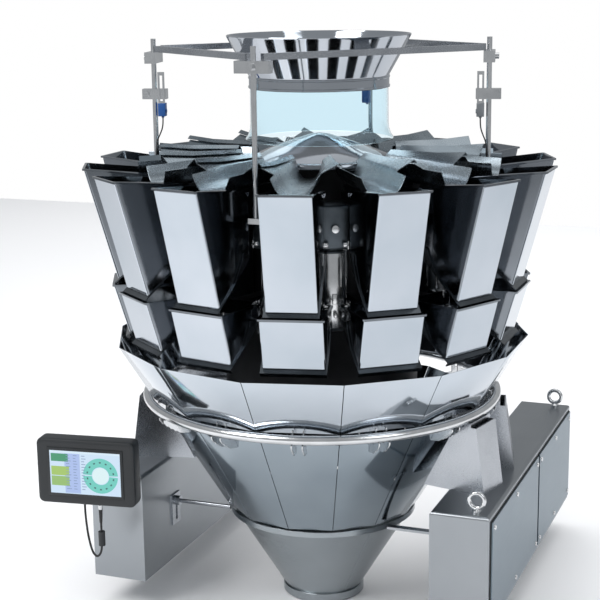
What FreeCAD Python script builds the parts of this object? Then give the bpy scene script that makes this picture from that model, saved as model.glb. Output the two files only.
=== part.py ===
import FreeCAD, Part
import Sketcher
import math
import os

# Fourteen-head combination weigher: product drops on a vibrating cone, runs along
# fourteen pans into feed hoppers, then weigh hoppers, then down the collecting chutes.
# Frame: +Z up, origin at the centre of the outlet's lower edge, the operator's side is -Y.
# Heads stand every 360/14 degrees; a gap between two heads faces -Y.

V = FreeCAD.Vector
os.makedirs("parts", exist_ok=True)
doc = FreeCAD.newDocument("Weigher")
sheet = doc.addObject("Spreadsheet::Sheet", "Sizes")

sizes = {
    "headCount": 14, "sheetThick": 2, "wallThick": 1.5, "runGap": 0.6,
    # feed hoppers: radii from the machine axis, heights from the outlet
    "feedTopRadius": 550, "feedTopHeight": 1075, "feedLowRadius": 480, "feedLowHeight": 816,
    "feedBackRadius": 368, "feedBackTop": 1045, "feedWidth": 112, "feedRim": 8,
    "feedPivotRadius": 385, "feedPivotHeight": 912,
    # weigh hoppers
    "weighTopRadius": 491, "weighTopHeight": 804, "weighLowRadius": 458, "weighLowHeight": 689,
    "weighBackRadius": 347, "weighBackLow": 771, "weighWidth": 136, "weighRim": 7,
    "weighPivotRadius": 381, "weighPivotHeight": 764,
    "gateLip": 11, "gateOpen": 48, "gateEase": 1.5, "gateArmGap": 2, "gateArmThick": 2, "pinRadius": 4, "pinGap": 0.05,
    # centre drum and the drive units in the gaps between heads
    "drumRadius": 232, "drumLow": 470, "drumHigh": 980, "drumFlange": 14,
    "driveFront": 335, "driveWidth": 73, "driveLow": 920, "driveHigh": 1019,
    "coverFront": 325, "coverWidth": 48, "coverLow": 736, "coverHigh": 916,
    "knobRadius": 9, "knobLength": 14, "hangerWidth": 32, "hangerDeep": 26,
    # vibrating pans and cone
    "panInner": 184, "panBreak": 300, "panMouth": 424, "panInnerHalf": 22, "panHalf": 30,
    "panInnerRun": 9, "panSideRun": 20, "panSideRise": 40, "panHeight": 1052, "panTilt": 2.2,
    "wingSlope": 0.5, "wingLap": 5, "wingGap": 7, "wingLift": 4, "wingFold": 7, "wingClear": 17,
    "vibratorInner": 190, "vibratorOuter": 330, "vibratorWidth": 46, "vibratorGap": 2, "coneGap": 0.8,
    "coneRadius": 178, "coneRim": 1086, "coneApex": 1142, "coneSheet": 3, "coneHub": 20,
    "coneEdge": 12, "coneStem": 60,
    # chutes
    "upperTopRadius": 496, "upperTopHeight": 663, "upperLowRadius": 416, "upperLowHeight": 530,
    "lowerTopRadius": 391, "lowerTopHeight": 497, "lowerLowRadius": 235, "lowerLowHeight": 238,
    "ringRadius": 423.5, "ringTube": 11, "ringHeight": 520, "hookSpacing": 24, "hookThick": 3,
    "coneTopRadius": 224, "coneTopHeight": 231, "outletRadius": 96, "outletHeight": 20,
    "collarThick": 4, "rimBand": 4, "rimBandTall": 14, "stayAcross": -110,
    # cabinets under both sides
    "cabinetInner": 355, "cabinetOuter": 491, "cabinetFront": -284, "cabinetBack": 629,
    "cabinetLow": 76, "cabinetHigh": 343, "cabinetRound": 8, "coverThick": 3, "gasketThick": 2,
    "cabinetWall": 4, "cabinetFloor": 22, "coverLap": 14,
    "coverMargin": 14, "coverSplit": 214, "coverSplitGap": 14, "screwRadius": 6, "screwHead": 3,
    "eyeRing": 17, "eyeWire": 5, "eyeCollar": 11, "eyeCollarHeight": 8, "footHole": 9,
    # arms that carry the drum
    "armLegInner": 394, "armLegOuter": 446, "armBaseInner": 312, "armBaseOuter": 468,
    "armWidth": 96, "armSheet": 3, "armShelf": 499, "armSpokeHeight": 24, "armSpokeEnd": 410,
    # infeed funnel and clear cylinder
    "funnelTopRadius": 215, "funnelTop": 1371, "funnelLowRadius": 164, "funnelLow": 1276,
    "bandLow": 1247, "cylinderRadius": 162, "cylinderLow": 1128, "cylinderFlare": 176,
    "cylinderWall": 4, "cylinderLap": 12,
    # posts and the bars round the funnel
    "postCircle": 394, "postRadius": 6, "postTop": 1361, "postLow": 1000, "clampHeight": 1318,
    "clampLong": 78, "clampTall": 26, "clampDeep": 26, "barThick": 14,
    # level sensors
    "sensorClampHeight": 1232, "sensorClampLong": 58, "sensorClampOut": 28,
    "sensorClampWide": 22, "sensorBarIn": 19, "sensorClampTall": 24, "slotBarLong": 104,
    "slotBarWide": 16, "slotBarThick": 4, "slotWide": 7, "sensorLong": 30, "sensorWide": 17,
    "sensorDeep": 14, "sensorCable": 1.6,
    # display on the left cabinet
    "displayAcross": -440, "displayFront": -400, "displayHeight": 380, "displayTurn": 8,
    "displayWide": 240, "displayTall": 158, "displayDeep": 46, "displayRound": 14,
    "screenWide": 186, "screenTall": 118, "screenThick": 1.5, "hingeBehind": 34,
    "cableRadius": 2.6, "tiltPin": 4, "lugWidth": 60, "glandLong": 16, "glandRadius": 7,
}
for row, (name, value) in enumerate(sizes.items(), start=1):
    sheet.set("A%d" % row, name)
    sheet.set("B%d" % row, str(value))
    sheet.setAlias("B%d" % row, name)
doc.recompute()


def size(name):
    """The sheet's value under this alias."""
    return float(sheet.get(name))


heads = int(size("headCount"))
pitch = 360.0 / heads
halfPitch = math.radians(pitch / 2)
headAngles = [(k + 0.5) * pitch for k in range(heads)]
gapAngles = [k * pitch for k in range(heads)]
postAngles = [0, 4 * pitch, 7 * pitch, 11 * pitch]
armAngles = [3 * pitch, 4 * pitch, 10 * pitch, 11 * pitch]


def turned(shape, angle):
    """A copy of a shape made along +X, carried round to an angle counted from -Y towards +X."""
    copy = shape.copy()
    copy.rotate(V(0, 0, 0), V(0, 0, 1), angle - 90)
    return copy


def prism(outline, low, high):
    """Outline points (radius, height) extruded across the head from low to high."""
    points = [V(r, low, z) for r, z in outline]
    face = Part.Face(Part.makePolygon(points + points[:1]))
    return face.extrude(V(0, high - low, 0))


def plan(outline, low, high):
    """Outline points (radius, across) extruded upwards from low to high."""
    points = [V(r, t, low) for r, t in outline]
    face = Part.Face(Part.makePolygon(points + points[:1]))
    return face.extrude(V(0, 0, high - low))


def block(x0, x1, y0, y1, z0, z1):
    return Part.makeBox(x1 - x0, y1 - y0, z1 - z0, V(x0, y0, z0))


def slab(first, second):
    """A solid between two four-cornered faces whose corners correspond."""
    faces = [first, second]
    for i in range(4):
        j = (i + 1) % 4
        faces.append([first[i], first[j], second[j], second[i]])
    shells = [Part.Face(Part.makePolygon(corners + corners[:1])) for corners in faces]
    solid = Part.makeSolid(Part.makeShell(shells))
    if solid.Volume < 0:
        solid.reverse()
    return solid


def rod(start, end, radius):
    return Part.makeCylinder(radius, (end - start).Length, start, end - start)


def feature(label, shapes):
    """A sub-part made of one or more separate solids."""
    obj = doc.addObject("Part::Feature", label)
    obj.Label = label
    obj.Shape = Part.makeCompound(shapes) if len(shapes) > 1 else shapes[0]
    obj.Placement = FreeCAD.Placement()
    nodes.append(obj)
    return obj


def polar(label, shapes, angles):
    return feature(label, [turned(shape, angle) for angle in angles for shape in shapes])


def plane(body, role):
    return [f for f in body.Origin.OriginFeatures if f.Role == role][0]


def value(expression):
    """A number worked out from sheet aliases, to start a sketch near its solved shape."""
    probe.setExpression("Value", expression)
    probe.recompute()
    return probe.Value


def sketch(body, name, role, corners):
    """A closed outline whose corners are pairs of sheet expressions."""
    drawing = body.newObject("Sketcher::SketchObject", name)
    drawing.AttachmentSupport = [(plane(body, role), "")]
    drawing.MapMode = "FlatFace"
    points = [V(value(u), value(v), 0) for u, v in corners]
    count = len(points)
    for i in range(count):
        drawing.addGeometry(Part.LineSegment(points[i], points[(i + 1) % count]), False)
    for i in range(count):
        drawing.addConstraint(Sketcher.Constraint("Coincident", i, 2, (i + 1) % count, 1))
    for i, (u, v) in enumerate(corners):
        across = drawing.addConstraint(Sketcher.Constraint("DistanceX", -1, 1, i, 1, points[i].x))
        drawing.setExpression("Constraints[%d]" % across, u)
        upward = drawing.addConstraint(Sketcher.Constraint("DistanceY", -1, 1, i, 1, points[i].y))
        drawing.setExpression("Constraints[%d]" % upward, v)
    return drawing


def turnedBody(label, corners):
    """A sub-part turned about the machine axis from (radius, height) corners."""
    body = doc.addObject("PartDesign::Body", label)
    body.Label = label
    drawing = sketch(body, label + "Outline", "XZ_Plane", corners)
    turn = body.newObject("PartDesign::Revolution", label + "Turn")
    turn.Profile = drawing
    turn.ReferenceAxis = (drawing, ["V_Axis"])
    turn.Angle = 360
    nodes.append(body)
    return body


nodes = []
probe = doc.addObject("App::FeaturePython", "Probe")
probe.addProperty("App::PropertyFloat", "Value")

thick = size("sheetThick")

# Feed hoppers: front, back and two sides of flat sheet, a folded rim, and the gate's ears.
feedTop = (size("feedTopRadius"), size("feedTopHeight"))
feedLow = (size("feedLowRadius"), size("feedLowHeight"))
feedPivot = (size("feedPivotRadius"), size("feedPivotHeight"))
weighTop = (size("weighTopRadius"), size("weighTopHeight"))
weighLow = (size("weighLowRadius"), size("weighLowHeight"))
weighPivot = (size("weighPivotRadius"), size("weighPivotHeight"))


def underLine(low, pivot, drop):
    """Foot of the pivot on the gate's line and the line's unit direction, outwards and down."""
    backRadius, backHeight = drop
    length = math.hypot(low[0] - backRadius, low[1] - backHeight)
    along = ((low[0] - backRadius) / length, (low[1] - backHeight) / length)
    reach = (pivot[0] - low[0]) * along[0] + (pivot[1] - low[1]) * along[1]
    return (low[0] + along[0] * reach, low[1] + along[1] * reach), along


def hopper(top, low, backRadius, backTop, backLow, width, rim, pivot):
    """Flat sheets of one hopper, with its rim and the ears that carry the gate."""
    half = width / 2
    rise = thick * (backLow - low[1]) / (low[0] - backRadius)
    lowInner = (low[0] - thick, low[1] + rise)
    front = prism([top, low, lowInner, (top[0] - thick, top[1])], -half, half)
    outline = [(top[0] - thick, top[1]), lowInner, (backRadius, backLow),
               (backRadius, backTop), (backRadius + 14, top[1])]
    sheets = [front]
    sheets.append(block(backRadius - thick, backRadius, -half, half, backLow + rise, backTop))
    for side in (-1, 1):
        inner, outer = sorted((side * (half - thick), side * half))
        sheets.append(prism(outline, inner, outer))
        edge, tip = sorted((side * half, side * (half + rim)))
        sheets.append(block(backRadius + 14, top[0] - thick, edge, tip, top[1] - thick, top[1]))
        pin = rod(V(pivot[0], side * half, pivot[1]),
                  V(pivot[0], side * (half + pinReach), pivot[1]), size("pinRadius"))
        sheets.append(pin)
    rimOuter = top[0] + rim
    sheets.append(block(top[0], rimOuter, -half - rim, half + rim, top[1] - thick, top[1]))
    return sheets


def gate(low, pivot, foot, along, width):
    """A flat gate under a hopper's slanted mouth, hung from two side arms."""
    gap = size("runGap")
    down = (along[1], -along[0])
    if down[1] > 0:
        down = (-down[0], -down[1])
    reach = math.hypot(low[0] - foot[0], low[1] - foot[1]) + size("gateLip")
    near = (foot[0] + down[0] * gap, foot[1] + down[1] * gap)
    far = (near[0] + along[0] * reach, near[1] + along[1] * reach)
    arm = math.hypot(pivot[0] - near[0], pivot[1] - near[1])
    clear = arm * math.tan(math.radians(size("gateOpen") / 2)) + size("gateEase")
    start = (near[0] + along[0] * clear, near[1] + along[1] * clear)
    startLow = (start[0] + down[0] * thick, start[1] + down[1] * thick)
    farLow = (far[0] + down[0] * thick, far[1] + down[1] * thick)
    half = width / 2 + size("gateArmGap") + size("gateArmThick")
    sheets = [prism([start, far, farLow, startLow], -half, half)]
    lipTop = (far[0] + along[0] * thick, far[1] + along[1] * thick)
    lipEnd = (lipTop[0] + down[0] * size("gateLip"), lipTop[1] + down[1] * size("gateLip"))
    lipBack = (far[0] + down[0] * size("gateLip"), far[1] + down[1] * size("gateLip"))
    sheets.append(prism([far, lipTop, lipEnd, lipBack], -half, half))
    eye = size("pinRadius") + size("pinGap")
    for side in (-1, 1):
        inner, outer = sorted((side * (half - size("gateArmThick")), side * half))
        middle = (near[0] + along[0] * reach * 0.45, near[1] + along[1] * reach * 0.45)
        arm = prism([(pivot[0] - 9, pivot[1]), near, middle, (pivot[0] + 9, pivot[1] + 3)], inner, outer)
        boss = Part.makeCylinder(12, outer - inner, V(pivot[0], inner, pivot[1]), V(0, 1, 0))
        hole = Part.makeCylinder(eye, outer - inner + 2, V(pivot[0], inner - 1, pivot[1]), V(0, 1, 0))
        sheets.append(arm.fuse(boss).cut(hole).removeSplitter())
    return sheets


pinReach = size("gateArmGap") + size("gateArmThick") + 2
feedBackLow = feedLow[1] + (feedLow[0] - size("feedBackRadius")) * 0.8476
feedSheets = hopper(feedTop, feedLow, size("feedBackRadius"), size("feedBackTop"), feedBackLow,
                    size("feedWidth"), size("feedRim"), feedPivot)
polar("feed_hoppers", feedSheets, headAngles)
weighSheets = hopper(weighTop, weighLow, size("weighBackRadius"), weighTop[1], size("weighBackLow"),
                     size("weighWidth"), size("weighRim"), weighPivot)
polar("weigh_hoppers", weighSheets, headAngles)

# Gates: one hinged body for each hopper.
feedFoot, feedAlong = underLine(feedLow, feedPivot, (size("feedBackRadius"), feedBackLow))
weighFoot, weighAlong = underLine(weighLow, weighPivot,
                                  (size("weighBackRadius"), size("weighBackLow")))
feedGate = gate(feedLow, feedPivot, feedFoot, feedAlong, size("feedWidth"))
weighGate = gate(weighLow, weighPivot, weighFoot, weighAlong, size("weighWidth"))
for number, angle in enumerate(headAngles, start=1):
    polar("feed_gate_%02d" % number, feedGate, [angle])
    polar("weigh_gate_%02d" % number, weighGate, [angle])

# Centre drum with a top flange: it carries every head.
turnedBody("centre_drum", [
    ("0", "Sizes.drumLow"), ("Sizes.drumRadius", "Sizes.drumLow"),
    ("Sizes.drumRadius", "Sizes.drumHigh - Sizes.drumFlange"),
    ("Sizes.drumRadius + Sizes.drumFlange", "Sizes.drumHigh - Sizes.drumFlange"),
    ("Sizes.drumRadius + Sizes.drumFlange", "Sizes.drumHigh"), ("0", "Sizes.drumHigh")])

# Drive units in the gaps, each a cap over a slimmer cover, with a release knob on its face.
driveHalf = size("driveWidth") / 2
coverHalf = size("coverWidth") / 2
drumEdge = size("drumRadius") + size("drumFlange")
drive = block(drumEdge, size("driveFront"), -driveHalf, driveHalf, size("driveLow"), size("driveHigh"))
cover = block(size("drumRadius"), size("coverFront"), -coverHalf, coverHalf,
              size("coverLow"), size("coverHigh"))
bridge = block(size("drumRadius"), size("coverFront") - 20, -coverHalf, coverHalf,
               size("coverHigh"), size("driveLow"))
polar("drive_units", [drive, cover, bridge], gapAngles)
knobHeight = (size("driveLow") + size("driveHigh")) / 2
knob = rod(V(size("driveFront"), 0, knobHeight), V(size("driveFront") + size("knobLength"), 0, knobHeight),
           size("knobRadius"))
latch = rod(V(size("coverFront"), 0, size("coverLow") + 40),
            V(size("coverFront") + size("knobLength"), 0, size("coverLow") + 40), size("knobRadius") * 0.6)
knobs = [turned(shape, angle) for angle in gapAngles for shape in (knob, latch)]

# Hangers between the drum and the back of each hopper.
hangerHalf = size("hangerWidth") / 2
feedBackFace = size("feedBackRadius") - thick
weighBackFace = size("weighBackRadius") - thick
feedHanger = block(drumEdge, feedBackFace, -hangerHalf, hangerHalf,
                   size("drumHigh") - size("hangerDeep"), size("drumHigh"))
weighHanger = block(size("drumRadius"), weighBackFace, -hangerHalf, hangerHalf,
                    weighTop[1] - size("hangerDeep"), weighTop[1] - 2)
hangers = [turned(shape, angle) for angle in headAngles for shape in (feedHanger, weighHanger)]

# Vibrators on the drum's top, one under each pan.
vibHalf = size("vibratorWidth") / 2
vibTop = size("panHeight") - size("vibratorGap")
vibrator = block(size("vibratorInner"), size("vibratorOuter"), -vibHalf * 0.6, vibHalf * 0.6,
                 size("drumHigh"), vibTop - 22)
spring = block(size("vibratorInner") + 20, size("vibratorOuter") - 20, -vibHalf * 0.6, vibHalf * 0.6,
               vibTop - 22, vibTop)
coneUnder = size("coneRim") - size("coneEdge") - size("coneGap")
coneDrive = rod(V(0, 0, size("drumHigh")), V(0, 0, coneUnder), size("coneStem"))
vibrators = [turned(shape, angle) for angle in headAngles for shape in (vibrator, spring)]
feature("vibrators", vibrators + [coneDrive])


# Feeder pans: a floor, two sloping sides and a wing on each side; one wing laps the next pan.
def triangles(corners, offset):
    """Two flat triangles of sheet through four corners, thickened by an offset."""
    a, b, c, d = corners
    halves = []
    for triangle in ([a, b, c], [a, c, d]):
        face = Part.Face(Part.makePolygon(triangle + triangle[:1]))
        halves.append(face.extrude(offset))
    return halves


def pan():
    inner, bend, mouth = size("panInner"), size("panBreak"), size("panMouth")
    wall = size("wallThick")
    floorTop = size("panHeight") + wall
    wingEnd = size("postCircle") - size("postRadius") - size("wingClear")
    edge = [(inner, size("panInnerHalf")), (bend, size("panHalf")), (wingEnd, size("panHalf")),
            (mouth, size("panHalf"))]
    runs = [size("panInnerRun"), size("panSideRun"), size("panSideRun"), size("panSideRun")]
    outline = edge + [(r, -half) for r, half in reversed(edge)]
    sheets = [plan(outline, size("panHeight"), floorTop)]
    rimZ = floorTop + size("panSideRise")
    for side in (-1, 1):
        feet = [V(r, side * half, floorTop) for r, half in edge]
        heads = [V(r, side * (half + run), rimZ) for (r, half), run in zip(edge, runs)]
        lap = size("wingLap") if side > 0 else -size("wingGap")
        lift = size("wingLift") if side > 0 else 0
        tips = []
        for corner in heads:
            reach = corner.x * math.tan(halfPitch) - abs(corner.y) + lap
            tips.append(corner + V(0, side * reach, reach * size("wingSlope") + lift))
        for i in range(3):
            sheets += triangles([feet[i], feet[i + 1], heads[i + 1], heads[i]], V(0, -side * wall, 0))
            if i == 2:
                continue
            sheets += triangles([heads[i], heads[i + 1], tips[i + 1], tips[i]], V(0, 0, wall))
            if side > 0:
                fold = V(0, size("wingFold"), -size("wingFold"))
                sheets += triangles([tips[i], tips[i + 1], tips[i + 1] + fold, tips[i] + fold],
                                    V(0, 0, wall))
    return sheets


panSheets = []
for sheetPiece in pan():
    sheetPiece.rotate(V(size("panBreak"), 0, size("panHeight")), V(0, 1, 0), size("panTilt"))
    panSheets.append(sheetPiece)
polar("feeder_pans", panSheets, headAngles)

# Vibrating cone over its drive.
turnedBody("dispersion_cone", [
    ("Sizes.coneHub", "Sizes.coneRim - Sizes.coneEdge"),
    ("Sizes.coneRadius", "Sizes.coneRim - Sizes.coneEdge"),
    ("Sizes.coneRadius", "Sizes.coneRim"), ("0", "Sizes.coneApex"),
    ("0", "Sizes.coneApex - Sizes.coneSheet"),
    ("Sizes.coneRadius - Sizes.coneSheet", "Sizes.coneRim - Sizes.coneSheet"),
    ("Sizes.coneRadius - Sizes.coneSheet", "Sizes.coneRim - Sizes.coneEdge + Sizes.coneSheet"),
    ("Sizes.coneHub", "Sizes.coneRim - Sizes.coneEdge + Sizes.coneSheet")])

# Collecting chutes: flat panels whose upright edges meet at the gap angles.
def panel(topRadius, topHeight, lowRadius, lowHeight):
    c, s = math.cos(halfPitch), math.sin(halfPitch)
    corners = [(topRadius, -1, topHeight), (topRadius, 1, topHeight),
               (lowRadius, 1, lowHeight), (lowRadius, -1, lowHeight)]
    outer = [V(r * c, side * r * s, z) for r, side, z in corners]
    inner = [V((r - thick) * c, side * (r - thick) * s, z) for r, side, z in corners]
    return slab(outer, inner)


upperPanel = panel(size("upperTopRadius"), size("upperTopHeight"),
                   size("upperLowRadius"), size("upperLowHeight"))
lowerPanel = panel(size("lowerTopRadius"), size("lowerTopHeight"),
                   size("lowerLowRadius"), size("lowerLowHeight"))
polar("upper_chutes", [upperPanel], headAngles)
polar("lower_chutes", [lowerPanel], headAngles)

# Ring tube round the chutes.
ring = doc.addObject("Part::Torus", "RingTube")
ring.setExpression("Radius1", "Sizes.ringRadius")
ring.setExpression("Radius2", "Sizes.ringTube")
ring.setExpression("Placement.Base.z", "Sizes.ringHeight")
doc.recompute()


def panelFace(topRadius, topHeight, lowRadius, lowHeight, height):
    """Radius of a chute panel's outside at its middle, at a height."""
    share = (height - lowHeight) / (topHeight - lowHeight)
    return (lowRadius + share * (topRadius - lowRadius)) * math.cos(halfPitch)


# Hooks from the lower panels under the ring and up to the upper panels.
lowerSizes = [size("lowerTopRadius"), size("lowerTopHeight"), size("lowerLowRadius"), size("lowerLowHeight")]
upperSizes = [size("upperTopRadius"), size("upperTopHeight"), size("upperLowRadius"), size("upperLowHeight")]
ringBottom = size("ringHeight") - size("ringTube")
hookFoot = lowerSizes[1] - 27
hookOutline = [
    (panelFace(*lowerSizes, lowerSizes[1]), lowerSizes[1]), (panelFace(*lowerSizes, hookFoot), hookFoot),
    (size("ringRadius") - 24, hookFoot + 6), (size("ringRadius") + 8, ringBottom - 5),
    (size("ringRadius") + 8, ringBottom), (size("ringRadius") - 13, ringBottom),
    (panelFace(*upperSizes, upperSizes[3] + 7) + 0.2, upperSizes[3] + 7),
    (panelFace(*upperSizes, upperSizes[3]), upperSizes[3]), (size("ringRadius") - 24, upperSizes[3]),
    (size("ringRadius") - 24, lowerSizes[1])]
hooks = []
for side in (-1, 1):
    centre = side * size("hookSpacing") / 2
    hooks.append(prism(hookOutline, centre - size("hookThick") / 2, centre + size("hookThick") / 2))
hookSet = [turned(shape, angle) for angle in headAngles for shape in hooks]
feature("chute_ring", [ring.Shape] + hookSet)

# Discharge funnel and its collar.
turnedBody("discharge_funnel", [
    ("Sizes.coneTopRadius + Sizes.rimBand", "Sizes.coneTopHeight"),
    ("Sizes.coneTopRadius + Sizes.rimBand", "Sizes.coneTopHeight - Sizes.rimBandTall"),
    ("Sizes.coneTopRadius - Sizes.rimBandTall * (Sizes.coneTopRadius - Sizes.outletRadius)"
     " / (Sizes.coneTopHeight - Sizes.outletHeight)", "Sizes.coneTopHeight - Sizes.rimBandTall"),
    ("Sizes.outletRadius", "Sizes.outletHeight"),
    ("Sizes.outletRadius + Sizes.collarThick", "Sizes.outletHeight"),
    ("Sizes.outletRadius + Sizes.collarThick", "0"),
    ("Sizes.outletRadius - Sizes.sheetThick", "0"),
    ("Sizes.outletRadius - Sizes.sheetThick", "Sizes.outletHeight"),
    ("Sizes.coneTopRadius - Sizes.sheetThick", "Sizes.coneTopHeight")])

# Stays from the cabinets' inner faces to the discharge funnel's rim band.
inner = size("cabinetInner")
stayAcross = size("stayAcross")
stayHeight = size("coneTopHeight") - size("rimBandTall") / 2
bandRadius = size("coneTopRadius") + size("rimBand")


def bandReach(halfWidth):
    """How far the rim band stands out beside a stay of this half width."""
    nearest = abs(stayAcross) - halfWidth
    return math.sqrt(bandRadius ** 2 - nearest ** 2)


leftPlate = block(-inner, -inner + 4, stayAcross - 22, stayAcross + 22, stayHeight - 60, stayHeight + 18)
slot = block(-inner - 1, -inner + 5, stayAcross - 5, stayAcross + 5, stayHeight - 50, stayHeight - 10)
leftRod = rod(V(-inner + 4, stayAcross, stayHeight), V(-bandReach(5), stayAcross, stayHeight), 5)
thumb = rod(V(-inner + 4, stayAcross, stayHeight), V(-inner + 16, stayAcross, stayHeight), 12)
rightFoot = block(inner - 4, inner, stayAcross - 22, stayAcross + 22, stayHeight - 40, stayHeight + 18)
rightBar = block(bandReach(9), inner - 4, stayAcross - 9, stayAcross + 9, stayHeight - 3, stayHeight + 3)
feature("discharge_stays", [leftPlate.cut(slot), leftRod.fuse(thumb).removeSplitter(), rightFoot, rightBar])


# Cabinets: closed boxes with rounded edges, bolted down through their undersides.
def cabinet(label, start):
    body = doc.addObject("PartDesign::Body", label)
    body.Label = label
    end = start + " + (Sizes.cabinetOuter - Sizes.cabinetInner)"
    drawing = sketch(body, label + "Plan", "XY_Plane", [
        (start, "Sizes.cabinetFront"), (end, "Sizes.cabinetFront"),
        (end, "Sizes.cabinetBack"), (start, "Sizes.cabinetBack")])
    drawing.AttachmentOffset = FreeCAD.Placement(V(0, 0, size("cabinetLow")), FreeCAD.Rotation())
    drawing.setExpression("AttachmentOffset.Base.z", "Sizes.cabinetLow")
    pad = body.newObject("PartDesign::Pad", label + "Pad")
    pad.Profile = drawing
    pad.setExpression("Length", "Sizes.cabinetHigh - Sizes.cabinetLow")
    doc.recompute()
    tops = ["Face%d" % (i + 1) for i, face in enumerate(pad.Shape.Faces)
            if abs(face.CenterOfMass.z - size("cabinetHigh")) < 0.01]
    rounding = body.newObject("PartDesign::Fillet", label + "Rounding")
    rounding.Base = (pad, tops)
    rounding.setExpression("Radius", "Sizes.cabinetRound")
    doc.recompute()
    holes = sketchCircles(body, label + "Holes", start)
    pocket = body.newObject("PartDesign::Pocket", label + "Pocket")
    pocket.Profile = holes
    pocket.Length = 30
    pocket.Reversed = True
    wall, floor = size("cabinetWall"), size("cabinetFloor")
    left = value(start) if value(start) < 0 else value(start) + wall
    for i, (front, back) in enumerate(coverSpans):
        room = body.newObject("PartDesign::SubtractiveBox", label + "Room%d" % i)
        room.Length = value(end) - value(start) - wall
        room.Width = back - front - 2 * size("coverLap")
        room.Height = coverZ[1] - size("coverLap") - coverZ[0] - floor
        room.Placement = FreeCAD.Placement(V(left, front + size("coverLap"), coverZ[0] + floor),
                                           FreeCAD.Rotation())
    nodes.append(body)
    return body


def sketchCircles(body, name, start):
    """Four bolt holes in the underside."""
    drawing = body.newObject("Sketcher::SketchObject", name)
    drawing.AttachmentSupport = [(plane(body, "XY_Plane"), "")]
    drawing.MapMode = "FlatFace"
    drawing.AttachmentOffset = FreeCAD.Placement(V(0, 0, size("cabinetLow")), FreeCAD.Rotation())
    drawing.setExpression("AttachmentOffset.Base.z", "Sizes.cabinetLow")
    middle = start + " + (Sizes.cabinetOuter - Sizes.cabinetInner) / 2"
    spots = [(middle, "Sizes.cabinetFront + 40"), (middle, "Sizes.cabinetBack - 40")]
    for i, (u, v) in enumerate(spots):
        drawing.addGeometry(Part.Circle(V(value(u), value(v), 0), V(0, 0, 1), size("footHole") / 2), False)
        across = drawing.addConstraint(Sketcher.Constraint("DistanceX", -1, 1, i, 3, value(u)))
        drawing.setExpression("Constraints[%d]" % across, u)
        upward = drawing.addConstraint(Sketcher.Constraint("DistanceY", -1, 1, i, 3, value(v)))
        drawing.setExpression("Constraints[%d]" % upward, v)
        round_ = drawing.addConstraint(Sketcher.Constraint("Radius", i, size("footHole") / 2))
        drawing.setExpression("Constraints[%d]" % round_, "Sizes.footHole / 2")
    return drawing


margin = size("coverMargin")
coverSpans = [
    (size("cabinetFront") + margin, size("coverSplit") - size("coverSplitGap") / 2),
    (size("coverSplit") + size("coverSplitGap") / 2, size("cabinetBack") - margin)]
coverZ = (size("cabinetLow") + margin, size("cabinetHigh") - margin)
cabinet("right_cabinet", "Sizes.cabinetInner")
cabinet("left_cabinet", "-Sizes.cabinetOuter")

# Covers on the cabinets' outer sides, each on a gasket and held by screws.
outerFace = size("cabinetOuter")
covers, gaskets, screws = [], [], []
gasketOut = outerFace + size("gasketThick")
coverOut = gasketOut + size("coverThick")
for side in (-1, 1):
    for front, back in coverSpans:
        x0, x1 = sorted((side * outerFace, side * gasketOut))
        whole = block(x0, x1, front - 1.5, back + 1.5, coverZ[0] - 1.5, coverZ[1] + 1.5)
        lap = size("coverLap")
        hole = block(x0 - 1, x1 + 1, front + lap, back - lap, coverZ[0] + lap, coverZ[1] - lap)
        gaskets.append(whole.cut(hole))
        x0, x1 = sorted((side * gasketOut, side * coverOut))
        covers.append(block(x0, x1, front, back, coverZ[0], coverZ[1]))
        for y in (front + 16, (front + back) / 2, back - 16):
            for z in (coverZ[0] + 16, coverZ[1] - 16):
                screws.append(rod(V(side * coverOut, y, z), V(side * (coverOut + size("screwHead")), y, z),
                                  size("screwRadius")))
feature("cabinet_covers", covers)
feature("cabinet_gaskets", gaskets)

# Lifting eyes on the cabinets' tops.
eyes = []
eyeX = (size("cabinetInner") + outerFace) / 2 + 32
for side in (-1, 1):
    for y in (size("cabinetFront") + 28, size("cabinetBack") - 28):
        base = V(side * eyeX, y, size("cabinetHigh"))
        collar = Part.makeCylinder(size("eyeCollar"), size("eyeCollarHeight"), base)
        height = size("eyeCollarHeight") + size("eyeRing") + size("eyeWire") - 2
        loop = Part.makeTorus(size("eyeRing"), size("eyeWire"), base + V(0, 0, height), V(0, 1, 0))
        eyes.append(collar.fuse(loop).removeSplitter())
feature("fittings", knobs + screws + eyes)

# Arms: a leg on each cabinet's top, a spoke over the lower chute, and a saddle under the ring.
armHalf = size("armWidth") / 2
shelf = size("armShelf")


def leg(inset):
    """A leg's outline from the cabinet's top to the shelf, drawn in by an inset."""
    rows = []
    for inner, outer, height in ((size("armBaseInner"), size("armBaseOuter"), size("cabinetHigh")),
                                 (size("armLegInner"), size("armLegOuter"), shelf)):
        low, high, half = inner + inset, outer - inset, armHalf - inset
        rows.append([V(low, -half, height), V(high, -half, height), V(high, half, height), V(low, half, height)])
    return slab(*rows)


legBox = leg(0).cut(leg(size("armSheet")))
spoke = block(size("drumRadius"), size("armSpokeEnd"), -armHalf, armHalf, shelf, shelf + size("armSpokeHeight"))
saddle = block(size("ringRadius") - 9, size("ringRadius") + 9, -armHalf, armHalf, shelf, ringBottom)
arms = [turned(shape, angle) for angle in armAngles for shape in (legBox, spoke, saddle)]
feature("support_arms", arms)
feature("hopper_hangers", hangers)

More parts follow.
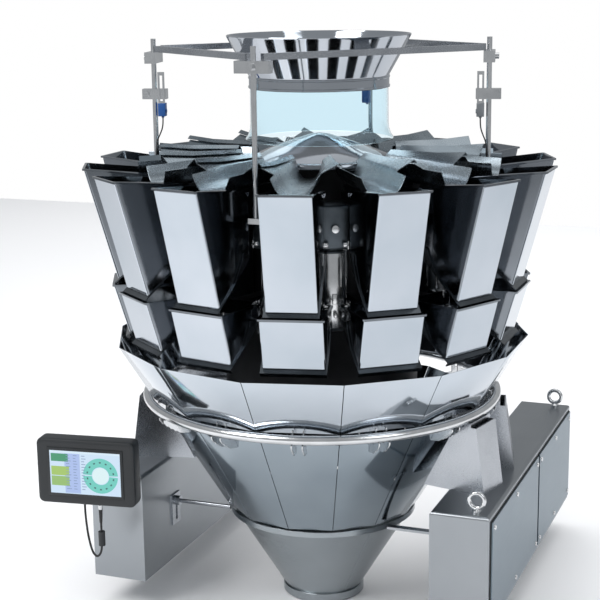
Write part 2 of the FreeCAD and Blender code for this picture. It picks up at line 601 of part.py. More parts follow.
# Infeed funnel with its band, and the clear cylinder that hangs from it.
turnedBody("infeed_funnel", [
    ("Sizes.funnelTopRadius", "Sizes.funnelTop"), ("Sizes.funnelLowRadius", "Sizes.funnelLow"),
    ("Sizes.funnelLowRadius", "Sizes.bandLow"),
    ("Sizes.funnelLowRadius - Sizes.sheetThick", "Sizes.bandLow"),
    ("Sizes.funnelLowRadius - Sizes.sheetThick", "Sizes.funnelLow"),
    ("Sizes.funnelTopRadius - Sizes.sheetThick", "Sizes.funnelTop")])
turnedBody("infeed_cylinder", [
    ("Sizes.cylinderRadius", "Sizes.bandLow + Sizes.cylinderLap"),
    ("Sizes.cylinderRadius", "Sizes.cylinderLow + 30"),
    ("Sizes.cylinderFlare", "Sizes.cylinderLow"),
    ("Sizes.cylinderFlare - Sizes.cylinderWall", "Sizes.cylinderLow"),
    ("Sizes.cylinderRadius - Sizes.cylinderWall", "Sizes.cylinderLow + 30"),
    ("Sizes.cylinderRadius - Sizes.cylinderWall", "Sizes.bandLow + Sizes.cylinderLap")])

# Posts between the hoppers, standing on brackets from the drum.
postCircle = size("postCircle")
post = rod(V(postCircle, 0, size("postLow")), V(postCircle, 0, size("postTop")), size("postRadius"))
foot = block(size("driveFront"), postCircle + 12, -14, 14, size("postLow") - 12, size("postLow"))

# Clamps at the posts' tops and square bars between them.
clampZ = size("clampHeight")
tall = size("clampTall") / 2
deep = size("clampDeep") / 2
clampHalf = size("clampLong") / 2
clampBlock = block(postCircle - deep, postCircle + deep, -clampHalf, clampHalf, clampZ - tall, clampZ + tall)
bore = rod(V(postCircle, 0, clampZ - tall - 1), V(postCircle, 0, clampZ + tall + 1), size("postRadius"))
bolt = rod(V(postCircle + deep, 0, clampZ), V(postCircle + deep + 9, 0, clampZ), 7)
polar("frame_posts", [post, foot, clampBlock.cut(bore), bolt], postAngles)


def around(radius, angle, height):
    """A point at a radius and an angle counted from -Y towards +X."""
    a = math.radians(angle)
    return V(radius * math.sin(a), -radius * math.cos(a), height)


bars = []
barHalf = size("barThick") / 2
barZ = clampZ + tall
for i, angle in enumerate(postAngles):
    following = postAngles[(i + 1) % 4] + (360 if i == 3 else 0)
    start, end = around(postCircle, angle, 0), around(postCircle, following, 0)
    way = (end - start).normalize()
    length = (end - start).Length
    bar = Part.makeBox(length - 44, size("barThick"), size("barThick"), V(22, -barHalf, barZ))
    bar.rotate(V(0, 0, 0), V(0, 0, 1), math.degrees(math.atan2(way.y, way.x)))
    bar.translate(start)
    bars.append(bar)

# Brackets from the bars to the funnel's cone.
funnelSlope = ((size("funnelTopRadius") - size("funnelLowRadius"))
               / (size("funnelTop") - size("funnelLow")))
funnelCone = Part.makeCone(size("funnelLowRadius"), size("funnelTopRadius"),
                           size("funnelTop") - size("funnelLow"), V(0, 0, size("funnelLow")))
tabs = []
for i, angle in enumerate(postAngles):
    following = postAngles[(i + 1) % 4] + (360 if i == 3 else 0)
    half = math.radians((following - angle) / 2)
    middleAngle = (angle + following) / 2
    barDistance = postCircle * math.cos(half)
    coneAt = size("funnelLowRadius") + funnelSlope * (barZ - size("funnelLow"))
    reach = max(barDistance - barHalf, coneAt + 6)
    tab = block(coneAt - 4, reach, -24, 24, barZ, barZ + 4)
    tabs.append(turned(tab, middleAngle).cut(funnelCone))
feature("frame_bars", bars + tabs)

# Level sensors: a clamp on a post, a slotted bar, and the sensor at its lower end.
sensorZ = size("sensorClampHeight")
sensorTall = size("sensorClampTall") / 2
clampSide = size("sensorClampWide") / 2
barRadius = postCircle - size("sensorBarIn")
barHalfWide = size("slotBarWide") / 2
clampOut = postCircle + size("sensorClampOut")
sensorAngles = [postAngles[1], postAngles[3], postAngles[2]]
sensorSides = [-1, 1, 1]
clampsMade, barsMade, bodiesMade = [], [], []


def beside(side, near, far):
    """Two distances across, low one first, on the side of the post that a sensor faces."""
    return sorted((side * near, side * far))


for angle, side in zip(sensorAngles, sensorSides):
    body = block(clampOut - size("sensorClampLong"), clampOut, -clampSide, clampSide,
                 sensorZ - sensorTall, sensorZ + sensorTall)
    hole = rod(V(postCircle, 0, sensorZ - sensorTall - 1), V(postCircle, 0, sensorZ + sensorTall + 1),
               size("postRadius"))
    head = rod(V(clampOut - 10, side * clampSide, sensorZ), V(clampOut - 10, side * (clampSide + 8), sensorZ), 7)
    clampsMade += [turned(body.cut(hole), angle), turned(head, angle)]
    top = sensorZ + size("slotBarLong") / 2
    bottom = top - size("slotBarLong")
    barOut = clampSide + size("slotBarThick")
    strip = block(barRadius - barHalfWide, barRadius + barHalfWide, *beside(side, clampSide, barOut), bottom, top)
    opening = block(barRadius - size("slotWide") / 2, barRadius + size("slotWide") / 2,
                    *beside(side, clampSide - 1, barOut + 1), bottom + 36, top - 8)
    barsMade.append(turned(strip.cut(opening), angle))
    sensor = block(barRadius - size("sensorWide") / 2, barRadius + size("sensorWide") / 2,
                   *beside(side, clampSide - size("sensorDeep"), clampSide), bottom, bottom + size("sensorLong"))
    bodiesMade.append(turned(sensor, angle))
feature("sensor_mounts", clampsMade + barsMade)
feature("sensor_bodies", bodiesMade)

# Display: a bracket on the left cabinet's front, a rounded housing that tilts, and its screen.
turn = size("displayTurn")
place = FreeCAD.Placement(V(size("displayAcross"), size("displayFront"), size("displayHeight")),
                          FreeCAD.Rotation(V(0, 0, 1), turn))
wide, high, deepD = size("displayWide"), size("displayTall"), size("displayDeep")


def displayBody(label, width, tallness, thickness, front, radius):
    """A rounded plate in the display's own frame, its face towards -Y."""
    body = doc.addObject("PartDesign::Body", label)
    body.Label = label
    drawing = sketch(body, label + "Face", "XZ_Plane", [
        ("-" + width + " / 2", "-" + tallness + " / 2"), (width + " / 2", "-" + tallness + " / 2"),
        (width + " / 2", tallness + " / 2"), ("-" + width + " / 2", tallness + " / 2")])
    pad = body.newObject("PartDesign::Pad", label + "Pad")
    pad.Profile = drawing
    pad.setExpression("Length", thickness)
    pad.Reversed = True
    doc.recompute()
    if radius:
        upright = []
        for i, line in enumerate(pad.Shape.Edges):
            ends = [v.Point for v in line.Vertexes]
            if abs(ends[0].x - ends[1].x) < 0.01 and abs(ends[0].z - ends[1].z) < 0.01:
                upright.append("Edge%d" % (i + 1))
        rounding = body.newObject("PartDesign::Fillet", label + "Rounding")
        rounding.Base = (pad, upright)
        rounding.setExpression("Radius", radius)
    offset = FreeCAD.Placement(V(0, front, 0), FreeCAD.Rotation())
    body.Placement = place.multiply(offset)
    nodes.append(body)
    return body


shell = displayBody("DisplayShell", "Sizes.displayWide", "Sizes.displayTall", "Sizes.displayDeep", 0,
                    "Sizes.displayRound")
nodes.remove(shell)
displayBody("display_screen", "Sizes.screenWide", "Sizes.screenTall", "Sizes.screenThick",
            -size("screenThick"), "")

# Behind the housing a lug turns on the bracket's pin; two glands take the cable.
doc.recompute()
hingeY = deepD + size("hingeBehind") - 14
pin = size("tiltPin")
half = size("lugWidth") / 2
knuckle = rod(V(-half, hingeY, 0), V(half, hingeY, 0), 2 * pin)
pinHole = rod(V(-half - 1, hingeY, 0), V(half + 1, hingeY, 0), pin + size("pinGap"))
web = block(-half, half, deepD, hingeY - pin - 2, -2 * pin, 2 * pin)
lug = knuckle.fuse(web).cut(pinHole).removeSplitter()
gland = rod(V(25, 23, -high / 2), V(25, 23, -high / 2 - size("glandLong")), size("glandRadius"))
backGland = rod(V(-30, deepD, -48), V(-30, deepD + 8, -48), size("glandRadius"))
for piece in (lug, gland, backGland):
    piece.Placement = place
feature("display_housing", [shell.Shape, lug, gland, backGland])

stand = []
for side in (-1, 1):
    x0, x1 = sorted((side * (half + 0.5), side * (half + 5)))
    stand.append(block(x0, x1, hingeY - 9, hingeY + 16, -10, 10))
stand.append(rod(V(-half - 0.5, hingeY, 0), V(half + 0.5, hingeY, 0), pin))
stand.append(block(-half - 5, half + 5, hingeY + 16, hingeY + 20, -70, 12))
for piece in stand:
    piece.Placement = place
armZ = size("displayHeight") - 66
plateBack = place.multVec(V(0, hingeY + 20, 0))
arm = block(plateBack.x - 18, plateBack.x + 18, plateBack.y - 10, size("cabinetFront"), armZ, armZ + 6)
pad = block(plateBack.x - 26, plateBack.x + 26, size("cabinetFront") - 4, size("cabinetFront"),
            armZ - 22, armZ + 20)
behind = block(-60, 60, hingeY + 20, hingeY + 120, -90, 40)
behind.Placement = place
arm = arm.common(behind).cut(pad)
feature("display_bracket", stand + [arm, pad])


# Cords: straight runs joined by tangent arcs.
def cordTube(label, points, radius):
    corners = []
    radii = []
    for before, corner, after in zip(points, points[1:], points[2:]):
        back, ahead = before - corner, after - corner
        turnAngle = math.pi - back.getAngle(ahead)
        arcRadius = 0.45 * min(back.Length, ahead.Length) / math.tan(turnAngle / 2)
        cut = arcRadius * math.tan(turnAngle / 2)
        back.normalize()
        ahead.normalize()
        middle = (back + ahead).normalize()
        toMiddle = arcRadius / math.cos(turnAngle / 2) - arcRadius
        corners.append((corner + back * cut, corner + middle * toMiddle, corner + ahead * cut))
        radii.append(arcRadius)
    edges = []
    last = points[0]
    for enter, middle, leave in corners:
        edges.append(Part.LineSegment(last, enter).toShape())
        edges.append(Part.Arc(enter, middle, leave).toShape())
        last = leave
    edges.append(Part.LineSegment(last, points[-1]).toShape())
    path = Part.Wire(edges)
    section = Part.Wire([Part.Circle(points[0], points[1] - points[0], radius).toShape()])
    tube = path.makePipeShell([section], True, False)
    expected = math.pi * radius ** 2 * path.Length
    print(label, "length %.0f" % path.Length, "radii", [round(r) for r in radii],
          "volume share %.4f" % (tube.Volume / expected))
    feature(label, [tube])


def onDisplay(x, y, z):
    return place.multVec(V(x, y, z))


glandEnd = -high / 2 - size("glandLong")
displayRoute = [
    onDisplay(25, 23, glandEnd), onDisplay(24.3, 23, glandEnd - 36), onDisplay(25, 23, glandEnd - 72),
    onDisplay(24, 23, glandEnd - 96), onDisplay(20, 23.5, glandEnd - 112),
    onDisplay(11, 24, glandEnd - 121), onDisplay(1, 25, glandEnd - 113), onDisplay(-6, 27, glandEnd - 94),
    onDisplay(-13, 31, glandEnd - 66), onDisplay(-19, 38, glandEnd - 34), onDisplay(-24, 47, glandEnd - 6),
    onDisplay(-27, 58, -69), onDisplay(-29, 66, -54), onDisplay(-30, 62, -48.5), onDisplay(-30, 54, -48)]
cordTube("display_cable", displayRoute, size("cableRadius"))
ferrite = rod(onDisplay(24.9, 23, glandEnd - 55), onDisplay(24.9, 23, glandEnd - 90), 8)
feature("cable_ferrite", [ferrite])

for label, angle, side in (("sensor_cable_right", postAngles[1], -1), ("sensor_cable_left", postAngles[3], 1)):
    across = side * (clampSide - size("sensorDeep") / 2)
    low = sensorZ - size("slotBarLong") / 2
    foot = size("postLow")
    local = [(barRadius, across, low), (barRadius, across, low - 16), (barRadius + 2, side * 6, low - 30),
             (barRadius + 7, side * 9.5, low - 43), (barRadius + 13, side * 12, low - 56),
             (barRadius + 16, side * 13, low - 76), (barRadius + 17, side * 13, foot + 78),
             (barRadius + 16.5, side * 12.3, foot + 52), (barRadius + 16, side * 11.5, foot + 26),
             (barRadius + 16, side * 11, foot)]
    shape = [Part.Vertex(V(*point)) for point in local]
    route = [turned(vertex, angle).Point for vertex in shape]
    cordTube(label, route, size("sensorCable"))

doc.recompute()
problems = [o.Name for o in doc.Objects if "Invalid" in o.State or "Error" in o.State]
for node in nodes:
    if node.Shape.isNull() or not node.Shape.isValid():
        problems.append(node.Label)
if problems:
    raise SystemExit("failed: " + ", ".join(problems))
if len(nodes) > 60:
    raise SystemExit("too many sub-parts: %d" % len(nodes))
for node in nodes:
    node.Shape.exportStep("parts/%s.step" % node.Label)
print(len(nodes), "sub-parts written")
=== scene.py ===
import bpy
import bmesh
import math
from mathutils import Matrix, Vector


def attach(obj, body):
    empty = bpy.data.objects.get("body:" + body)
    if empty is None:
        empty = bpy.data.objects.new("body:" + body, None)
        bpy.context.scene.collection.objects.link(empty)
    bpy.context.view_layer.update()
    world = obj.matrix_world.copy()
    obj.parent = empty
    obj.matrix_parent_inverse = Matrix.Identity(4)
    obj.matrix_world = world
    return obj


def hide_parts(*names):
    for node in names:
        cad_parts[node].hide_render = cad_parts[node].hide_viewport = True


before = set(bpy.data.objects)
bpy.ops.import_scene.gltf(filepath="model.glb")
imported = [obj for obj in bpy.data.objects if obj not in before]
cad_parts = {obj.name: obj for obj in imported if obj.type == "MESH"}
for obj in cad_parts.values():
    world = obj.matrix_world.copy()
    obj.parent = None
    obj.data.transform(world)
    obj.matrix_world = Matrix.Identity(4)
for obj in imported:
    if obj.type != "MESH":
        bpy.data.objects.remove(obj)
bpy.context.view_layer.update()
headCount = 14
pitch = 2 * math.pi / headCount
halfPitch = pitch / 2
postAngles = [0, 4 * pitch, 7 * pitch, 11 * pitch]  # counted from -Y towards +X
scene = bpy.context.scene


def around(radius, across, height, angle):  # a point given in the frame of the head at this angle
    return Vector((radius * math.sin(angle) + across * math.cos(angle),
                   -radius * math.cos(angle) + across * math.sin(angle), height))


# camera
cameraLook = {"place": (1.200, -3.241, 1.507), "forward": (-0.3524, 0.9103, -0.2172),
              "up": (-0.0666, 0.2071, 0.9760), "lens": 88.05, "sensor": 36.0}
forward = Vector(cameraLook["forward"]).normalized()
sideways = forward.cross(Vector(cameraLook["up"])).normalized()
upward = sideways.cross(forward)
cameraData = bpy.data.cameras.new("mainCamera")
cameraData.lens = cameraLook["lens"]
cameraData.sensor_width = cameraLook["sensor"]
camera = bpy.data.objects.new("mainCamera", cameraData)
turnMatrix = Matrix((sideways, upward, -forward)).transposed().to_4x4()
camera.matrix_world = Matrix.Translation(cameraLook["place"]) @ turnMatrix
scene.collection.objects.link(camera)
scene.camera = camera
print("camera placed")


def linked(name, data):
    made = bpy.data.objects.new(name, data)
    scene.collection.objects.link(made)
    return made


# materials
def newMaterial(name):
    material = bpy.data.materials.new(name)
    material.use_nodes = True
    tree = material.node_tree
    shader = tree.nodes["Principled BSDF"]
    return material, tree, shader


def noiseOn(tree, scale, detail=3.0, stretch=(1, 1, 1)):
    coords = tree.nodes.new("ShaderNodeTexCoord")
    mapping = tree.nodes.new("ShaderNodeMapping")
    mapping.inputs["Scale"].default_value = stretch
    noise = tree.nodes.new("ShaderNodeTexNoise")
    noise.inputs["Scale"].default_value = scale
    noise.inputs["Detail"].default_value = detail
    tree.links.new(coords.outputs["Object"], mapping.inputs["Vector"])
    tree.links.new(mapping.outputs["Vector"], noise.inputs["Vector"])
    return noise


finishSizes = {"ior": 1.5, "cloudScale": 6.0, "grainScale": 300.0, "toneLow": 0.3, "toneHigh": 0.7,
               "cloudShare": 0.5, "grainShare": 0.5, "bump": 0.1, "bumpDepth": 0.0003}


def finish(name, look):
    material, tree, shader = newMaterial(name)
    shader.inputs["Metallic"].default_value = look.get("metal", 1.0)
    shader.inputs["IOR"].default_value = finishSizes["ior"]
    clouds = noiseOn(tree, look.get("cloudScale", finishSizes["cloudScale"]))
    ramp = tree.nodes.new("ShaderNodeValToRGB")  # slow changes of tone over the surface
    ramp.color_ramp.elements[0].position = finishSizes["toneLow"]
    ramp.color_ramp.elements[1].position = finishSizes["toneHigh"]
    ramp.color_ramp.elements[0].color = (*look["dark"], 1)
    ramp.color_ramp.elements[1].color = (*look["light"], 1)
    tree.links.new(clouds.outputs["Fac"], ramp.inputs["Fac"])
    tree.links.new(ramp.outputs["Color"], shader.inputs["Base Color"])
    grainScale = look.get("grainScale", finishSizes["grainScale"])
    grain = noiseOn(tree, grainScale, 4.0, look.get("stretch", (1, 1, 1)))
    wear = tree.nodes.new("ShaderNodeMapRange")  # grain and handling marks in the gloss
    wear.inputs["To Min"].default_value = look["rough"][0]
    wear.inputs["To Max"].default_value = look["rough"][1]
    mixed = tree.nodes.new("ShaderNodeMath")
    mixed.operation = "MULTIPLY_ADD"
    mixed.inputs[1].default_value = finishSizes["grainShare"]
    halfClouds = tree.nodes.new("ShaderNodeMath")
    halfClouds.operation = "MULTIPLY"
    halfClouds.inputs[1].default_value = finishSizes["cloudShare"]
    tree.links.new(clouds.outputs["Fac"], halfClouds.inputs[0])
    tree.links.new(grain.outputs["Fac"], mixed.inputs[0])
    tree.links.new(halfClouds.outputs[0], mixed.inputs[2])
    tree.links.new(mixed.outputs[0], wear.inputs["Value"])
    tree.links.new(wear.outputs["Result"], shader.inputs["Roughness"])
    bump = tree.nodes.new("ShaderNodeBump")
    bump.inputs["Strength"].default_value = look.get("bump", finishSizes["bump"])
    bump.inputs["Distance"].default_value = look.get("bumpDepth", finishSizes["bumpDepth"])
    source = clouds if look.get("wavy") else grain
    tree.links.new(source.outputs["Fac"], bump.inputs["Height"])
    tree.links.new(bump.outputs["Normal"], shader.inputs["Normal"])
    return material


polishedSteel = finish("polishedSteel", {
    "dark": (0.44, 0.49, 0.54), "light": (0.52, 0.56, 0.61), "rough": (0.05, 0.13),
    "cloudScale": 5.0, "bump": 0.06, "bumpDepth": 0.004, "wavy": True})
# a darker copy of the polished steel: painted shade, used on the hopper shells and the dispersion cone
shadedShellSteel = finish("shadedShellSteel", {
    "dark": (0.20, 0.22, 0.24), "light": (0.28, 0.30, 0.33), "rough": (0.07, 0.15),
    "cloudScale": 6.0, "bump": 0.06, "bumpDepth": 0.003, "wavy": True})
chuteSteel = finish("chuteSteel", {
    "dark": (0.52, 0.57, 0.62), "light": (0.60, 0.64, 0.69), "rough": (0.05, 0.12),
    "cloudScale": 4.0, "bump": 0.05, "bumpDepth": 0.004, "wavy": True})
# a darker copy of the chute steel: painted shade on the lower chute, which lies under the upper chute and the
# hoppers
shadedLowerSteel = finish("shadedLowerSteel", {
    "dark": (0.28, 0.33, 0.37), "light": (0.36, 0.41, 0.45), "rough": (0.06, 0.14),
    "cloudScale": 4.0, "bump": 0.05, "bumpDepth": 0.004, "wavy": True})
funnelSteel = finish("funnelSteel", {
    "dark": (0.42, 0.45, 0.49), "light": (0.50, 0.53, 0.57), "rough": (0.05, 0.12),
    "cloudScale": 5.0, "bump": 0.05, "bumpDepth": 0.003, "wavy": True})
gateSteel = finish("gateSteel", {
    "dark": (0.07, 0.08, 0.09), "light": (0.13, 0.145, 0.16), "rough": (0.16, 0.30),
    "cloudScale": 14.0, "bump": 0.05})
panSteel = finish("panSteel", {
    "dark": (0.20, 0.24, 0.27), "light": (0.30, 0.34, 0.37), "rough": (0.20, 0.34),
    "cloudScale": 9.0, "grainScale": 420.0, "bump": 0.08})
satinSteel = finish("satinSteel", {
    "dark": (0.36, 0.38, 0.41), "light": (0.46, 0.48, 0.51), "rough": (0.20, 0.34),
    "cloudScale": 8.0, "grainScale": 500.0, "bump": 0.08})
brushedSteel = finish("brushedSteel", {
    "dark": (0.30, 0.33, 0.35), "light": (0.38, 0.41, 0.43), "rough": (0.20, 0.38),
    "cloudScale": 4.0, "grainScale": 60.0, "stretch": (0.3, 0.3, 22.0), "bump": 0.12})
cabinetSteel = finish("cabinetSteel", {
    "dark": (0.31, 0.33, 0.35), "light": (0.37, 0.39, 0.41), "rough": (0.26, 0.38),
    "cloudScale": 3.0, "grainScale": 90.0, "stretch": (1.0, 0.15, 9.0), "bump": 0.07})
coverSteel = finish("coverSteel", {
    "dark": (0.17, 0.22, 0.26), "light": (0.22, 0.27, 0.31), "rough": (0.30, 0.42),
    "cloudScale": 3.0, "grainScale": 90.0, "stretch": (1.0, 0.15, 9.0), "bump": 0.07})
brightFittings = finish("brightFittings", {
    "dark": (0.62, 0.63, 0.64), "light": (0.74, 0.75, 0.76), "rough": (0.12, 0.24),
    "cloudScale": 20.0, "bump": 0.05})
darkHousing = finish("darkHousing", {
    "metal": 0.6, "dark": (0.012, 0.013, 0.015), "light": (0.03, 0.032, 0.036), "rough": (0.35, 0.55),
    "cloudScale": 12.0, "grainScale": 700.0, "bump": 0.15})
driveCover = finish("driveCover", {
    "metal": 0.9, "dark": (0.06, 0.075, 0.085), "light": (0.13, 0.15, 0.17), "rough": (0.22, 0.40),
    "cloudScale": 15.0, "grainScale": 600.0, "bump": 0.12})
gasketRubber = finish("gasketRubber", {
    "metal": 0.0, "dark": (0.012, 0.012, 0.012), "light": (0.025, 0.025, 0.025),
    "rough": (0.6, 0.8), "bump": 0.2})
blackPlastic = finish("blackPlastic", {
    "metal": 0.0, "dark": (0.010, 0.012, 0.014), "light": (0.018, 0.021, 0.024), "rough": (0.38, 0.52),
    "grainScale": 1400.0, "bump": 0.25, "bumpDepth": 0.0002})
cableJacket = finish("cableJacket", {
    "metal": 0.0, "dark": (0.010, 0.010, 0.011), "light": (0.018, 0.018, 0.019), "rough": (0.45, 0.6),
    "grainScale": 900.0, "bump": 0.15})
sensorBlue = finish("sensorBlue", {
    "metal": 0.0, "dark": (0.012, 0.075, 0.27), "light": (0.016, 0.10, 0.34),
    "rough": (0.3, 0.4), "bump": 0.05})
sensorGrey = finish("sensorGrey", {
    "metal": 0.8, "dark": (0.30, 0.32, 0.34), "light": (0.38, 0.40, 0.42), "rough": (0.3, 0.4),
    "bump": 0.05})


acrylicLook = {"tint": (0.80, 0.92, 0.97, 1), "ior": 1.12, "scratchScale": 40.0, "stretch": (1, 1, 0.2),
               "rough": (0.0, 0.06)}


def clearAcrylic():
    material, tree, shader = newMaterial("clearAcrylic")
    shader.inputs["Base Color"].default_value = acrylicLook["tint"]
    shader.inputs["Transmission Weight"].default_value = 1.0
    shader.inputs["IOR"].default_value = acrylicLook["ior"]
    scratches = noiseOn(tree, acrylicLook["scratchScale"], 4.0, acrylicLook["stretch"])
    wear = tree.nodes.new("ShaderNodeMapRange")
    wear.inputs["To Min"].default_value, wear.inputs["To Max"].default_value = acrylicLook["rough"]
    tree.links.new(scratches.outputs["Fac"], wear.inputs["Value"])
    tree.links.new(wear.outputs["Result"], shader.inputs["Roughness"])
    return material


litLook = {"rough": 0.25, "base": (0.02, 0.02, 0.02, 1), "grainScale": 900.0, "dim": 0.93, "glow": 0.95,
           "barGlow": 0.9}


def litArea(name, color, glow=litLook["glow"]):  # part of the lit screen, with a faint grain
    material, tree, shader = newMaterial(name)
    shader.inputs["Roughness"].default_value = litLook["rough"]
    shader.inputs["Base Color"].default_value = litLook["base"]
    shader.inputs["Emission Strength"].default_value = glow
    grain = noiseOn(tree, litLook["grainScale"], 1.0)
    ramp = tree.nodes.new("ShaderNodeValToRGB")
    ramp.color_ramp.elements[0].color = (*[c * litLook["dim"] for c in color], 1)
    ramp.color_ramp.elements[1].color = (*color, 1)
    tree.links.new(grain.outputs["Fac"], ramp.inputs["Fac"])
    tree.links.new(ramp.outputs["Color"], shader.inputs["Emission Color"])
    return material


acrylic = clearAcrylic()
print("materials made")


# mesh helpers
def addPiece(name, mesh, materials, body="root", replaced=None, smooth=None):
    piece = linked(name, mesh)
    if not mesh.materials:
        for material in materials:
            mesh.materials.append(material)
    if smooth is not None:
        for polygon in mesh.polygons:
            polygon.use_smooth = True
        mesh.set_sharp_from_angle(angle=math.radians(smooth))
    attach(piece, body)
    if replaced:
        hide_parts(replaced)
    return piece


def baked(holder):  # the evaluated mesh of an object whose modifiers are live, which is then removed
    depsgraph = bpy.context.evaluated_depsgraph_get()
    mesh = bpy.data.meshes.new_from_object(holder.evaluated_get(depsgraph), depsgraph=depsgraph)
    bpy.data.objects.remove(holder)
    return mesh


def meshFrom(name, build):
    shape = bmesh.new()
    build(shape)
    bmesh.ops.remove_doubles(shape, verts=shape.verts, dist=1e-6)
    bmesh.ops.recalc_face_normals(shape, faces=shape.faces)
    mesh = bpy.data.meshes.new(name)
    shape.to_mesh(mesh)
    shape.free()
    return mesh


def modified(mesh, thickness=0.0, bevel=0.0, segments=2, offset=-1.0, limit=30):
    holder = linked("holder", mesh)
    if thickness:
        wall = holder.modifiers.new("wall", "SOLIDIFY")
        wall.thickness = thickness
        wall.offset = offset
        wall.use_even_offset = True
    if bevel:
        rounding = holder.modifiers.new("rounding", "BEVEL")
        rounding.width = bevel
        rounding.segments = segments
        rounding.limit_method = "ANGLE"
        rounding.angle_limit = math.radians(limit)
    return baked(holder)


def newTree(name, inputs):
    tree = bpy.data.node_groups.new(name, "GeometryNodeTree")
    for label, kind in (("Geometry", "NodeSocketGeometry"), *inputs, ("Material", "NodeSocketMaterial")):
        tree.interface.new_socket(label, in_out="INPUT", socket_type=kind)
    tree.interface.new_socket("Geometry", in_out="OUTPUT", socket_type="NodeSocketGeometry")
    return tree, tree.nodes.new("NodeGroupInput"), tree.nodes.new("GeometryNodeInstanceOnPoints")


def closeTree(tree, source, place):  # the copies are made real and painted
    realize = tree.nodes.new("GeometryNodeRealizeInstances")
    paint = tree.nodes.new("GeometryNodeSetMaterial")
    result = tree.nodes.new("NodeGroupOutput")
    link = tree.links.new
    link(source.outputs["Geometry"], place.inputs["Instance"])
    link(place.outputs["Instances"], realize.inputs["Geometry"])
    link(realize.outputs["Geometry"], paint.inputs["Geometry"])
    link(source.outputs["Material"], paint.inputs["Material"])
    link(paint.outputs["Geometry"], result.inputs["Geometry"])
    return tree


def throughTree(mesh, tree, values):  # the plain mesh that a tree makes of this one
    holder = linked("holder", mesh)
    modifier = holder.modifiers.new("repeat", "NODES")
    modifier.node_group = tree
    for item in tree.interface.items_tree:
        if item.in_out == "INPUT" and item.name in values:
            modifier[item.identifier] = values[item.name]
    return baked(holder)


def ringTree():  # repeats a head's mesh round the machine axis
    tree, source, place = newTree("ringOfHeads", (
        ("Count", "NodeSocketInt"), ("Start", "NodeSocketFloat"), ("Step", "NodeSocketFloat")))
    line = tree.nodes.new("GeometryNodeMeshLine")
    line.inputs["Offset"].default_value = (0, 0, 0)
    index = tree.nodes.new("GeometryNodeInputIndex")
    turnBy = tree.nodes.new("ShaderNodeMath")
    turnBy.operation = "MULTIPLY_ADD"
    vector = tree.nodes.new("ShaderNodeCombineXYZ")
    link = tree.links.new
    link(source.outputs["Count"], line.inputs["Count"])
    link(index.outputs[0], turnBy.inputs[0])
    link(source.outputs["Step"], turnBy.inputs[1])
    link(source.outputs["Start"], turnBy.inputs[2])
    link(turnBy.outputs[0], vector.inputs["Z"])
    link(line.outputs["Mesh"], place.inputs["Points"])
    link(vector.outputs["Vector"], place.inputs["Rotation"])
    return closeTree(tree, source, place)


ringNodes = ringTree()


def ringOf(mesh, material, start=halfPitch):
    return throughTree(mesh, ringNodes, {"Count": headCount, "Start": start - math.pi / 2, "Step": pitch,
                                         "Material": material})


def joined(meshes):
    shape = bmesh.new()
    for mesh in meshes:
        shape.from_mesh(mesh)
    result = bpy.data.meshes.new(meshes[0].name)
    shape.to_mesh(result)
    shape.free()
    for material in meshes[0].materials:
        result.materials.append(material)
    return result


def boxInto(shape, low, high, turn=None):
    made = bmesh.ops.create_cube(shape, size=1.0)
    for vertex in made["verts"]:
        for axis in range(3):
            vertex.co[axis] = low[axis] if vertex.co[axis] < 0 else high[axis]
        if turn:
            vertex.co = turn @ vertex.co


def plateInto(shape, under, over):  # two outlines of vertices closed into a plate
    shape.faces.new(under)
    shape.faces.new(over[::-1])
    for i in range(len(under)):
        j = (i + 1) % len(under)
        shape.faces.new((under[i], over[i], over[j], under[j]))


def rodInto(shape, start, end, radius, sides=16, tip=None):
    start, end = Vector(start), Vector(end)
    way = end - start
    made = bmesh.ops.create_cone(shape, cap_ends=True, segments=sides, radius1=radius,
                                 radius2=radius if tip is None else tip, depth=way.length)
    turn = way.to_track_quat("Z", "Y").to_matrix().to_4x4()
    bmesh.ops.transform(shape, matrix=Matrix.Translation((start + end) / 2) @ turn, verts=made["verts"])
    return made["verts"]


def skinInto(shape, loops, shut=True):  # faces between neighbouring loops of vertices
    for first, second in zip(loops, loops[1:] + (loops[:1] if shut else [])):
        for i in range(len(first)):
            j = (i + 1) % len(first)
            shape.faces.new((first[i], first[j], second[j], second[i]))


def turnedMesh(name, profile, sides=96):  # closed outline of (radius, height) turned about the axis
    def build(shape):
        rings = []
        for radius, height in profile:
            rings.append([shape.verts.new((radius * math.cos(a), radius * math.sin(a), height))
                          for a in (2 * math.pi * i / sides for i in range(sides))])
        skinInto(shape, rings)
    return meshFrom(name, build)


def torusInto(shape, centre, radius, tube, axis, ringSides=96, tubeSides=14):
    turn = Vector(axis).to_track_quat("Z", "Y").to_matrix()
    grid = []
    for i in range(ringSides):
        a = 2 * math.pi * i / ringSides
        row = []
        for j in range(tubeSides):
            b = 2 * math.pi * j / tubeSides
            reach = radius + tube * math.cos(b)
            spot = Vector((reach * math.cos(a), reach * math.sin(a), tube * math.sin(b)))
            row.append(shape.verts.new(Vector(centre) + turn @ spot))
        grid.append(row)
    for i in range(ringSides):
        for j in range(tubeSides):
            a, b = (i + 1) % ringSides, (j + 1) % tubeSides
            shape.faces.new((grid[i][j], grid[a][j], grid[a][b], grid[i][b]))


